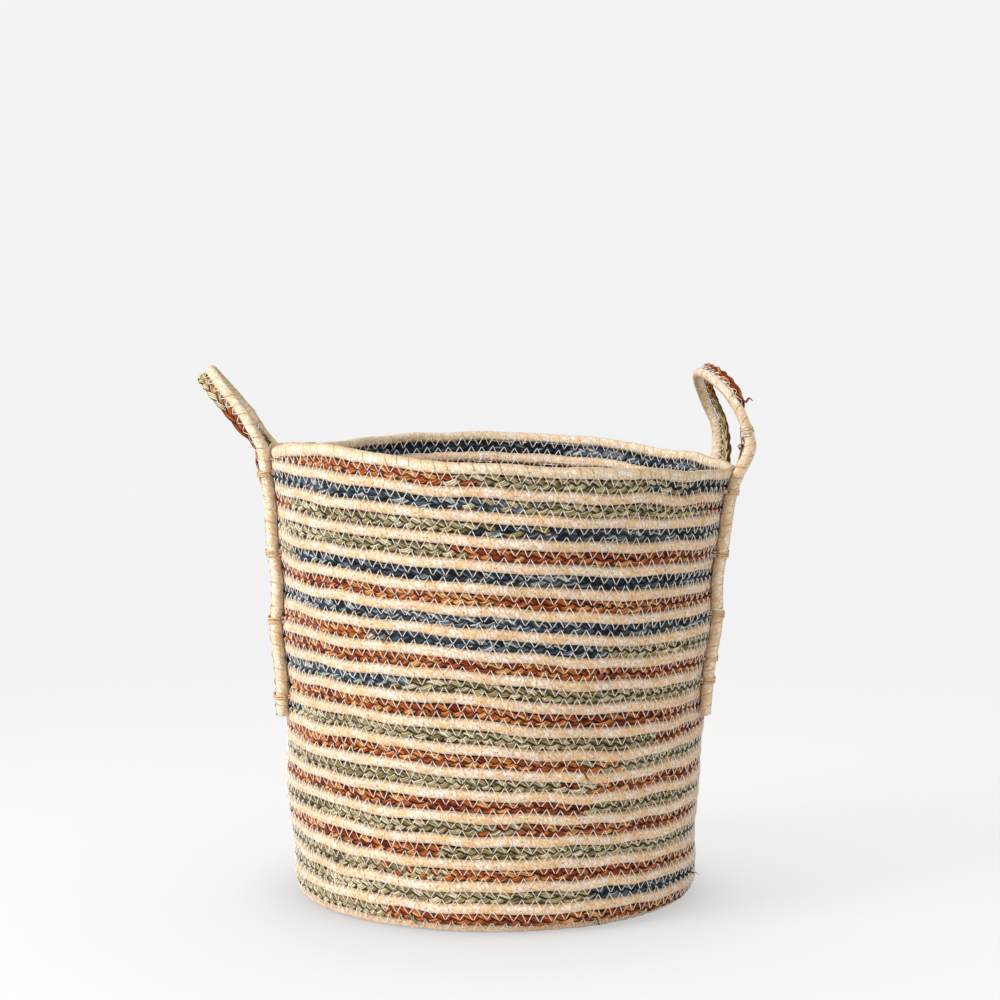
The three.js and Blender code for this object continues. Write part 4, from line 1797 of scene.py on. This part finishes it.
def strap_line(handle: Handle, step: float = 2.0 * MM) -> StrapLine:
    """Lay a strap up the front leg, over the loop and down the rear leg, and smooth its bends.

    Args:
        handle: the handle.
        step: how close its points lie.

    Returns:
        The strap's line.
    """
    heights = np.linspace(handle.leg_bottom, LEG_TOP, 40)
    front, rear = (leg_lines(handle, leg, heights) for leg in (handle.front, handle.rear))
    loop = loop_frames(handle)
    rows = [np.concatenate([front[k], loop[k], rear[k][::-1]]) for k in range(3)]
    length = lengths_to(rows[0])
    along = np.linspace(0, length[-1], int(length[-1] / step))
    cord, across, through = (smoothed(rows_at(along, length, r), 6) for r in rows)
    forward = headings(cord, along)
    across = unit(across - forward * np.sum(across * forward, axis=1, keepdims=True))
    normal = unit(np.cross(forward, across))
    normal *= np.sign(np.sum(normal * through, axis=1, keepdims=True))
    ends = length[len(heights)], length[-len(heights) - 1]
    inside = np.minimum(along - ends[0], ends[1] - along)
    loose = smooth((inside + STRAP.loose_before) / STRAP.loose_over)
    width = np.where(along < along[-1] / 2, handle.front.width, handle.rear.width)
    width = width + (handle.slim[1] - width) * smooth(inside / (ends[1] - ends[0]) * 2)
    slim = 1 + (handle.slim[0] - 1) * loose, 1 + (width - 1) * loose
    return StrapLine(along, cord, across, normal, slim)


@dataclass(frozen=True)
class HandleStrap:
    """A handle's strap: its cord, its plait and the thread that joins them."""

    handle: Handle
    line: StrapLine

    @property
    def seed(self) -> int:
        """Which small faults it has."""
        return 300 + 40 * self.handle.side.value

    def build(self, finishes: Finishes) -> None:
        """Build and add all its pieces."""
        self.build_cord(finishes)
        self.build_plait(finishes)
        self.build_thread(finishes)

    def add(self, part: str, tube: Tube, finish: Material, slot: str, solid: bool) -> None:
        """Add a piece that runs from the wall to the loop at the rim, on no body.

        Args:
            part: what its name ends with.
            tube: its rings.
            finish: its material.
            slot: the record's slot of it.
            solid: whether it stands for the strap's nodes of that part.
        """
        name = self.handle.name
        places = ("front_leg", "loop", "rear_leg") if solid else ()
        nodes = tuple(f"{name}_{place}_{part}" for place in places)
        piece = add_piece(f"{name}_handle_{part}", tube, finish, slot, "", nodes)
        x, y, z = hinge_line(self.handle).middle
        self.handle.body
        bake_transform(piece)

    def build_cord(self, finishes: Finishes) -> None:
        """Sweep the cord and add it."""
        line = self.line
        radius = STRAP.cord_radius * drawn_in(line.along, 5 * MM, 0.5) * line.slim[0] * 1.01
        rings = rings_along(Section(14), line.cord, line.across, line.through, radius, radius)
        tube = Tube()
        tube.add(wrapped_rings(line.along, self.seed, rings, line.cord), line.along)
        self.add("cord", tube, finishes.strap, "natural_leaf", True)

    def build_plait(self, finishes: Finishes) -> None:
        """Sweep the three strands of the plait and add them as one piece."""
        line, dyes = self.line, self.handle.dyes
        wide, thick = STRAP.plait_half_width * line.slim[1], STRAP.plait_half_thick * line.slim[1]
        lay = Lay(line.along, line.plait, line.across, -line.through, wide, thick)
        starts, letters = tuple(start for start, _ in dyes), tuple(names for _, names in dyes)
        dyeing = Dyeing(starts, letters, scatter=0.02, fade=0.015)
        tube = Tube()
        for strand in range(3):
            weights = dyeing.weights(line.along / line.along[-1], strand)
            # The handle's tone paints its plait's light and shade.
            tone = strip_tones(line.along, self.seed + 3 * strand) * self.handle.tone
            PLAITING.add_strand(tube, strand, lay, self.seed + 7, weights, tone)
        self.add("plait", tube, finishes.plait, "rust_leaf", True)

    def over_seam(self, sign: float) -> Place:
        """Give what places the zigzag's corners over the strap's seam."""
        line, reach = self.line, STRAP_ZIGZAG.reach

        def place(corner: Array, across: Array, above: Array) -> tuple:
            """Give points over the seam and the directions out of the surface there."""
            at = corner * STRAP_ZIGZAG.period / 2
            middle, sideways, inwards = line.frame_at(line.cord, at)
            slim, thin, seam = (np.interp(at, line.along, row) for row in (*line.slim, line.seam))
            toward_plait = np.clip(0.5 - across / (2 * reach), 0, 1)
            cord, plait = STRAP.cord_radius * slim, STRAP.plait_half_thick * THREAD_ON_PLAIT * thin
            out = cord + (plait - cord) * toward_plait + above
            away = inwards * sign
            return middle + sideways * (across * thin - seam)[:, None] + away * out[:, None], away

        return place

    def build_thread(self, finishes: Finishes) -> None:
        """Sew the seam on both faces, and add the thread and its needle holes."""
        thread, holes = Tube(), Tube()
        corners = int(self.line.along[-1] / (STRAP_ZIGZAG.period / 2))
        for sign in (-1, 1):
            seed = self.seed + 17 + sign
            STRAP_ZIGZAG.stitch(thread, holes, self.over_seam(sign), corners, 1.0, seed)
        self.add("thread", thread, finishes.thread, "natural_leaf", False)
        self.add("holes", holes, finishes.hole, "natural_leaf", False)


@dataclass(frozen=True)
class Tie:
    """A few turns of twine over a leg, from the wall on one side to the wall on the other."""

    radius: float = 0.8 * MM
    turns: int = 3
    twist: float = 4.5 * MM
    sunk: float = 2.5 * MM
    flat: float = 0.72

    def arch(self, theta: Array) -> tuple[Array, Array, float]:
        """Give one turn's arch over cord and plait, a boxy half ring with rounded shoulders.

        Args:
            theta: the way round the arch, from 0 to half a turn.

        Returns:
            How far across and how far off the strap's middle it lies, and its half width.
        """
        half = STRAP.cord_radius + STRAP.plait_half_width + STRAP.ply_gap / 2 + self.radius * 0.8
        wide = -np.sign(np.cos(theta)) * np.abs(np.cos(theta)) ** 0.45 * half
        over_cord = smooth((wide + 2.5 * MM) / (5 * MM))
        cord, plait = STRAP.cord_radius * 1.05, STRAP.plait_half_thick
        top = plait * 1.05 + (cord - plait) * over_cord + self.radius * 0.7
        foot = -STRAP.cord_radius - self.sunk
        return wide, foot + (top - foot) * np.sin(theta) ** 0.35, half

    def build(self, handle: Handle, leg: Leg, number: int, finishes: Finishes) -> None:
        """Wind the twine and add it as a piece in place of the tie's solid.

        Args:
            handle: the leg's handle.
            leg: the leg that it ties.
            number: its number, counted up the leg from 1.
            finishes: the materials.
        """
        height = handle.leg_bottom + leg.ties[number - 1]
        rng = np.random.default_rng(int(height * 1e4) + 50 * leg.end + 7 * handle.side.value)
        cord, across, through = (row[0] for row in leg_lines(handle, leg, np.array([height])))
        middle, away = cord - across * STRAP.cord_offset, -through
        up = np.cross(across, away)
        up *= np.sign(up[2])
        wide, rise, half = self.arch(np.linspace(0, math.pi, 40))
        tube = Tube()
        for turn in range(self.turns):
            level = (turn - (self.turns - 1) / 2) * self.radius * 1.9 + rng.normal(0, 0.25 * MM)
            lift = level + rng.normal(0, 0.8 * MM) * wide / half
            points = middle + across * wide[:, None] + away * rise[:, None] + up * lift[:, None]
            points = smoothed(points, 2)
            along = lengths_to(points)
            forward = headings(points)
            side = unit(np.cross(forward, up))
            spin = TURN * along[:, None] / self.twist
            lobe = np.cos(spin) * side + np.sin(spin) * np.cross(forward, side)
            size = np.full(len(points), self.radius)
            other = np.cross(forward, lobe)
            tube.add(
                rings_along(Section(8), points, lobe, other, size, size * self.flat),
                along + 0.1 * turn,
            )
        name = f"{handle.name}_{leg.place}_tie_{number}"
        add_piece(f"{name}_twine", tube, finishes.twine, "twine", nodes=(name,))


def strip_rings(points: Array, away: Array, half: Array, flat: float) -> Array:
    """Sweep a flat strip along points, with its thickness in the directions away."""
    wide = unit(np.cross(headings(points), away))
    return rings_along(Section(6), points, wide, away, half, half * flat)


@dataclass(frozen=True)
class Tuft:
    """A loose end of leaf that sticks out of the wall.

    Args:
        course: which course it leaves, counted down from the top plait.
        bearing: its bearing in degrees.
        drift: how far it runs to the right and up, in metres, over its length.
        stand: how far its tip stands out.
        face: 1 for the face outside, -1 for the face inside.
    """

    name: str
    course: float
    bearing: float
    drift: tuple[float, float]
    stand: float
    dye: Dye
    blades: int = 2
    width: float = 1.3 * MM
    face: float = 1.0

    def build(self, finishes: Finishes, seed: int) -> None:
        """Sweep a few curling blades and add them as a piece.

        Args:
            finishes: the materials.
            seed: which random blades it has.
        """
        rng = np.random.default_rng(seed)
        turn = BASKET.turn_at(self.course, self.bearing)
        run = sum(BASKET.plait_edges(np.array([turn])))[0] / 2
        share = np.linspace(0, 1, 14)
        dye = np.tile(self.dye.value, (len(share), 1))
        deep = np.zeros(len(share))
        tube = Tube()
        for blade in range(self.blades):
            reach = 1 + 0.35 * rng.normal()
            curl = Wander(seed + blade, 0.6 * MM, 0.5, 1.2).at(share) * share
            right = self.drift[0] * share * reach + curl
            rise = self.drift[1] * share**1.4 + curl * 0.8 + rng.normal(0, 0.5 * MM)
            out = BASKET.half_plait - 1.2 * MM
            out = out + (self.stand + 1.5 * MM) * np.sin(share * 1.9) * reach
            angle = BASKET.angle(turn) + right / BASKET.foot_radius
            points, _, away = BASKET.frame_at(run + rise, angle, out * self.face)
            half = self.width / 2 * (1 - 0.75 * share) * (0.8 + 0.4 * rng.random())
            rings = strip_rings(above_floor(points, self.width), away, half, 0.4)
            tone = np.full(len(share), 0.4 + 0.6 * rng.random())
            tube.add(rings, share * 20 * MM, {"dye": dye, "tone": tone, "deep": deep})
        add_piece(self.name, tube, finishes.plait, self.dye.slot)


TUFTS = (
    Tuft("tuft_upper_right", 5, 27, (-2 * MM, 4.5 * MM), 2.5 * MM, Dye.RUST, 3),
    Tuft("tuft_middle", 10, 8, (1 * MM, 6 * MM), 1.5 * MM, Dye.RUST),
    Tuft("tuft_middle_left", 10, -17, (4 * MM, -4 * MM), 1.5 * MM, Dye.RUST),
    Tuft("tuft_lower", 12, 11, (3 * MM, 5 * MM), 1.5 * MM, Dye.RUST),
    Tuft("strand_lower_right", 12, 23, (6 * MM, -12 * MM), 1.2 * MM, Dye.RUST, 2, 1.6 * MM),
    Tuft("strand_low", 14, 8, (1 * MM, -17 * MM), 1.0 * MM, Dye.RUST, 1, 1.6 * MM),
    Tuft("sprig_right", 18, 72, (3 * MM, -3 * MM), 4 * MM, Dye.RUST, 3),
    Tuft("bit_foot_left", 19, -24, (9 * MM, -5 * MM), 1.5 * MM, Dye.SAGE, 2, 1.8 * MM),
    Tuft("bit_low_left", 16, -4, (4 * MM, 3 * MM), 1.5 * MM, Dye.SAGE),
    Tuft("splice_end_red", 7, -28, (0.5 * MM, -5 * MM), 1.6 * MM, Dye.RUST, 3, 2.2 * MM),
    Tuft("plait_end_strands", 0, -66, (-8 * MM, 1 * MM), 1.5 * MM, Dye.RUST, 3, 1.6 * MM),
    Tuft("plait_end_leaf", 0, -72, (-12 * MM, 3 * MM), 2.2 * MM, Dye.STRAW, 2, 2.2 * MM),
    Tuft("tuft_low_right", 14, 22, (4 * MM, -5 * MM), 1.5 * MM, Dye.RUST, 2, 1.6 * MM),
    Tuft("knot_foot_right", 19, 29, (1.5 * MM, -5 * MM), 2.5 * MM, Dye.STRAW, 4, 3.2 * MM),
    Tuft("knot_inside", 0, 110, (1 * MM, 5 * MM), 3.0 * MM, Dye.STRAW, 4, 2.8 * MM, -1.0),
)


@dataclass(frozen=True)
class Curl:
    """A loose strand that curls away from a handle's plait."""

    name: str
    handle: Handle
    # In millimetres: how far up the strap from the front leg's end, how far out beyond the plait's
    # middle, and how far off its face.
    path: tuple[tuple[float, float, float], ...]
    width: float = 2.6 * MM
    tone: float = 0.9

    def build(self, finishes: Finishes) -> None:
        """Sweep the strand and add it as a piece that rides on the handle."""
        line = strap_line(self.handle)
        at, out, off = np.array(self.path).T * MM
        plait, across, through = line.frame_at(line.plait, at)
        knots = plait - across * out[:, None] + through * off[:, None]
        share = np.linspace(0, len(knots) - 1, 6 * len(knots))
        points = smoothed(rows_at(share, np.arange(len(knots)), knots), 3)
        forward = headings(points)
        wide = unit(np.cross(forward, through[0] + 0.3 * across[0]))
        half = self.width / 2 * (1 - 0.5 * share / share[-1])
        rings = rings_along(Section(6), points, wide, np.cross(forward, wide), half, half * 0.6)
        count = len(points)
        values = {"dye": np.tile(Dye.RUST.value, (count, 1)), "tone": np.full(count, self.tone)}
        tube = Tube()
        tube.add(rings, share * 2 * MM, {**values, "deep": np.zeros(count)})
        add_piece(self.name, tube, finishes.plait, "rust_leaf", self.handle.body)


CURLS = (
    Curl(
        "right_handle_curl_upper",
        RIGHT,
        ((255, 0, 0), (254, 3, 1), (253, 5.5, 1), (255, 7.5, 0.5), (254, 9.5, 0), (253, 11, 0)),
    ),
    Curl(
        "right_handle_curl_lower",
        RIGHT,
        (
            (202, 0, 1.5),
            (206, 0, 2.6),
            (209, 0, 4.2),
            (209, 0, 6.0),
            (212, 0, 6.6),
            (214.5, 0, 5.6),
            (215, 0, 3.6),
            (212.5, 0, 3.2),
        ),
    ),
    Curl("right_handle_loose_strand", RIGHT, ((192, 0, 3), (205, 0, 4), (216, 0, 4), (228, 0, 3))),
)


@dataclass(frozen=True)
class Band:
    """A strip wound a few times round a handle's cord, where its wrapping was started anew."""

    name: str
    handle: Handle
    first: float
    last: float
    turns: float
    width: float = 1.3 * MM
    lift: float = 0.45 * MM

    def build(self, finishes: Finishes) -> None:
        """Wind the strip and add it as a piece that rides on the handle."""
        line = strap_line(self.handle)
        share = np.linspace(0, 1, 60)
        at = self.first + (self.last - self.first) * share
        middle, across, through = line.frame_at(line.cord, at)
        radius = STRAP.cord_radius * np.interp(at, line.along, line.slim[0]) + self.lift
        spin = (TURN * self.turns * share)[:, None]
        away = across * np.cos(spin) + through * np.sin(spin)
        half = self.width * drawn_in(share, 0.05, 0.3)
        tube = Tube()
        tube.add(strip_rings(middle + away * radius[:, None], away, half, 0.45), share * 50 * MM)
        add_piece(self.name, tube, finishes.cord, "natural_leaf", self.handle.body)


@dataclass(frozen=True)
class Knot:
    """The small coiled knot in the middle of the base, a flat spiral of standing leaf."""

    turns: float = 2.2
    strip: float = 1.3 * MM
    start: float = 0.2 * MM
    short_of: float = 1.6 * MM

    def build(self, finishes: Finishes) -> None:
        """Wind the spiral and add it as a piece."""
        theta = np.linspace(0, self.turns * TURN, 60)
        radius = self.start + (BASKET.knot_radius - self.short_of) * theta / theta[-1]
        height = np.full_like(theta, BASKET.half_cord)
        points = np.stack([radius * np.cos(theta), radius * np.sin(theta), height], axis=-1)
        along = lengths_to(points)
        side = unit(np.cross(headings(points), UP))
        up = np.tile(UP, (len(points), 1))
        close = drawn_in(along, 1 * MM, 0.3)
        half, tall = self.strip * close, BASKET.half_cord * close
        tube = Tube()
        tube.add(rings_along(Section(8), points, side, up, half, tall), along)
        nodes = ("base_centre_knot",)
        add_piece("base_knot_coil", tube, finishes.cord, "natural_leaf", nodes=nodes)


# The stage


def seen_rays(g: Graph) -> Socket:
    """Give whether a ray shows what it meets, directly or by a mirror or a clear thing."""
    rays = g.node("ShaderNodeLightPath").outputs
    seen = g.math("MAXIMUM", rays["Is Camera Ray"], rays["Is Glossy Ray"])
    return g.math("MAXIMUM", seen, rays["Is Transmission Ray"])


@dataclass(frozen=True)
class Floor:
    """The pale floor, which fades into the background away from the basket.

    The camera sees it as an even pale surface with a share of its real shading, and with a soft
    painted shadow round the foot.
    """

    pale: float = 0.915
    real: float = 0.15
    shade: tuple[float, float] = (0.26, 0.12)
    spread: tuple[float, float] = (0.026, 0.11)
    forwards: float = 0.09
    # How far from the middle it starts to fade, and is gone.
    fade: tuple[float, float] = (0.45, 1.3)

    def distance(self, g: Graph, place: Socket, forwards: float = 0.0) -> Socket:
        """Give how far a place lies from a point before the floor's middle."""
        moved = g.node("ShaderNodeVectorMath", operation="ADD")
        g.put(moved.inputs[0], place)
        g.put(moved.inputs[1], (0.0, forwards, 0.0))
        length = g.node("ShaderNodeVectorMath", operation="LENGTH")
        g.put(length.inputs[0], moved.outputs[0])
        return length.outputs["Value"]

    def shade_of(self, g: Graph, length: Socket, depth: float, spread: float) -> Socket:
        """Give a painted shade that fades away from the foot."""
        away = g.math("MAXIMUM", g.math("SUBTRACT", length, BASKET.foot_radius), 0.0)
        return g.math("MULTIPLY", g.math("EXPONENT", g.math("DIVIDE", away, -spread)), depth)

    def material(self) -> Material:
        """Make its material."""
        material, g = new_material("pale_floor")
        place = g.node("ShaderNodeTexCoord").outputs["Object"]
        middle = self.distance(g, place)
        # Painted shadow: a narrow one close round the foot and a wide one centred in front of it.
        near = self.shade_of(g, middle, self.shade[0], self.spread[0])
        before = self.distance(g, place, self.forwards)
        wide = self.shade_of(g, before, self.shade[1], self.spread[1])
        kept = g.math("MULTIPLY", g.math("SUBTRACT", 1.0, near), g.math("SUBTRACT", 1.0, wide))
        seen = g.node("ShaderNodeEmission", {"Color": (self.pale,) * 3 + (1.0,), "Strength": kept})
        bright = g.node("ShaderNodeBsdfDiffuse", {"Color": (1.3, 1.3, 1.3, 1.0)})
        plain = g.node("ShaderNodeBsdfDiffuse", {"Color": (0.86, 0.86, 0.86, 1.0)})
        clear = g.node("ShaderNodeBsdfTransparent")
        shown = g.blend(self.real, seen.outputs[0], bright.outputs[0])
        lit = g.blend(seen_rays(g), plain.outputs[0], shown)
        g.surface(g.blend(g.step(middle, *self.fade), lit, clear.outputs[0]))
        return material


@dataclass(frozen=True)
class Stage:
    """The floor, and the light and the backdrop all round."""

    reach: float = 3.0
    below: float = 0.2 * MM
    tint: tuple[float, ...] = (1.0, 0.95, 0.86, 1.0)
    strength: float = 0.54
    backdrop: float = 0.893

    def build(self) -> None:
        """Lay the floor, and set the light that comes from all round."""
        mesh = bpy.data.meshes.new("floor")
        corners = ((-1, -1), (1, -1), (1, 1), (-1, 1))
        mesh.from_pydata([(x * self.reach, y * self.reach, 0) for x, y in corners], [], [range(4)])
        mesh.materials.append(Floor().material())
        floor = bpy.data.objects.new("floor", mesh)
        bpy.context.scene.collection.objects.link(floor)
        floor.location.z = -self.below

        world = bpy.data.worlds.new("studio")
        bpy.context.scene.world = world
        world.use_nodes = True
        world.node_tree.nodes.clear()
        g = Graph(world.node_tree)
        pale = (self.backdrop,) * 3 + (1.0,)
        ambient = g.node("ShaderNodeBackground", {"Color": self.tint, "Strength": self.strength})
        backdrop = g.node("ShaderNodeBackground", {"Color": pale, "Strength": 1.0})
        output = g.node("ShaderNodeOutputWorld")
        shown = g.blend(seen_rays(g), ambient.outputs[0], backdrop.outputs[0])
        g.fed(output, {"Surface": shown})


@dataclass(frozen=True)
class Lamp:
    """A soft square lamp that looks at the basket's middle."""

    name: str
    place: tuple[float, float, float]
    size: float
    watts: float

    def build(self) -> None:
        """Hang the lamp."""
        data = bpy.data.lights.new(self.name, "AREA")
        data.size = self.size
        data.energy = self.watts
        lamp = bpy.data.objects.new(self.name, data)
        bpy.context.scene.collection.objects.link(lamp)
        lamp.location = self.place
        aim = np.array([0, 0, 0.18]) - np.array(self.place)
        lamp.rotation_euler = (
            math.acos(-aim[2] / np.linalg.norm(aim)),
            0.0,
            math.atan2(aim[1], aim[0]) - TURN / 4,
        )


LAMPS = (
    Lamp("key_left", (-2.2, -1.25, 1.5), 1.3, 69.0),
    Lamp("fill_front", (0.9, -2.4, 1.2), 1.6, 15.0),
)


@dataclass(frozen=True)
class View:
    """The photograph's camera.

    Its focal length is in pixels of a picture 1000 wide, and its middle is a little left of the
    basket's axis.
    """

    distance: float = 1.890
    height: float = 0.439
    right: float = 3.7 * MM
    pitch_down: float = 3.92
    focal_pixels: float = 2396.0
    picture: float = 1000.0
    sensor: float = 36.0

    def build(self) -> None:
        """Make the camera and use it."""
        data = bpy.data.cameras.new("photo_camera")
        data.sensor_width = self.sensor
        data.sensor_fit = "HORIZONTAL"
        data.lens = self.focal_pixels / self.picture * self.sensor
        data.clip_start = 0.05
        camera = bpy.data.objects.new("photo_camera", data)
        bpy.context.scene.collection.objects.link(camera)
        camera.location = (self.right, -self.distance, self.height)
        camera.rotation_euler = (math.radians(90 - self.pitch_down), 0.0, 0.0)
        bpy.context.scene.camera = camera


FIRST_CORD_LEAD = 0.12
FIRST_PLAIT_TURN = -0.88
FIRST_SEAM_TURN = 0.4


def main() -> None:
    """Build the basket's looks over the frame, and the stage round it."""
    logging.basicConfig(level=logging.INFO, format="%(message)s")
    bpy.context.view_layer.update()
    bpy.context.scene.view_settings.view_transform = "Standard"
    View().build()
    Stage().build()
    for lamp in LAMPS:
        lamp.build()
    finishes = make_finishes()

    cord_base = BASKET.base_end(plait=False)
    plait_base = BASKET.base_end(plait=True)
    cord_start = FIRST_CORD_LEAD - BASKET.cord_course / BASKET.pitch
    splice, plait_end = BASKET.splice, BASKET.plait_end
    rim, end = BASKET.cord_end - 1, BASKET.cord_end
    Knot().build(finishes)
    for piece in (
        Cord("base_cord_wrapped", cord_start, cord_base, ("base_cord",), 40),
        Cord("wall_cord_wrapped", cord_base, rim, ("wall_cord",), 50),
        Cord("rim_cord_wrapped", rim, end, ("rim_cord",), 60, bound=True),
        Plait("base_plait", FIRST_PLAIT_TURN, plait_base, ("base_plait",), "sage_leaf", 70),
        Plait("lower_plait", plait_base, splice, ("wall_plait_lower",), "rust_leaf", 80),
        Plait("upper_plait", splice, plait_end, ("wall_plait_upper",), "navy_leaf", 90),
        SeamThread("base_thread_under", 1.0, FIRST_SEAM_TURN, plait_base, 100),
        SeamThread("base_thread_inside", -1.0, FIRST_SEAM_TURN, plait_base, 110),
        SeamThread("wall_thread_outside", 1.0, plait_base, end, 120),
        SeamThread("wall_thread_inside", -1.0, plait_base, end, 130),
    ):
        piece.build(finishes)
    LOG.info("the coil is built")

    for handle in (LEFT, RIGHT):
        HandleStrap(handle, strap_line(handle)).build(finishes)
        for leg in (handle.front, handle.rear):
            for number in range(1, len(leg.ties) + 1):
                Tie().build(handle, leg, number, finishes)
    for number, tuft in enumerate(TUFTS):
        tuft.build(finishes, 200 + 10 * number)
    for curl in CURLS:
        curl.build(finishes)
    Band("right_handle_band", RIGHT, 224 * MM, 230 * MM, 2.6).build(finishes)
    LOG.info("the handles and the loose ends are built")


if __name__ == "__main__":
    main()
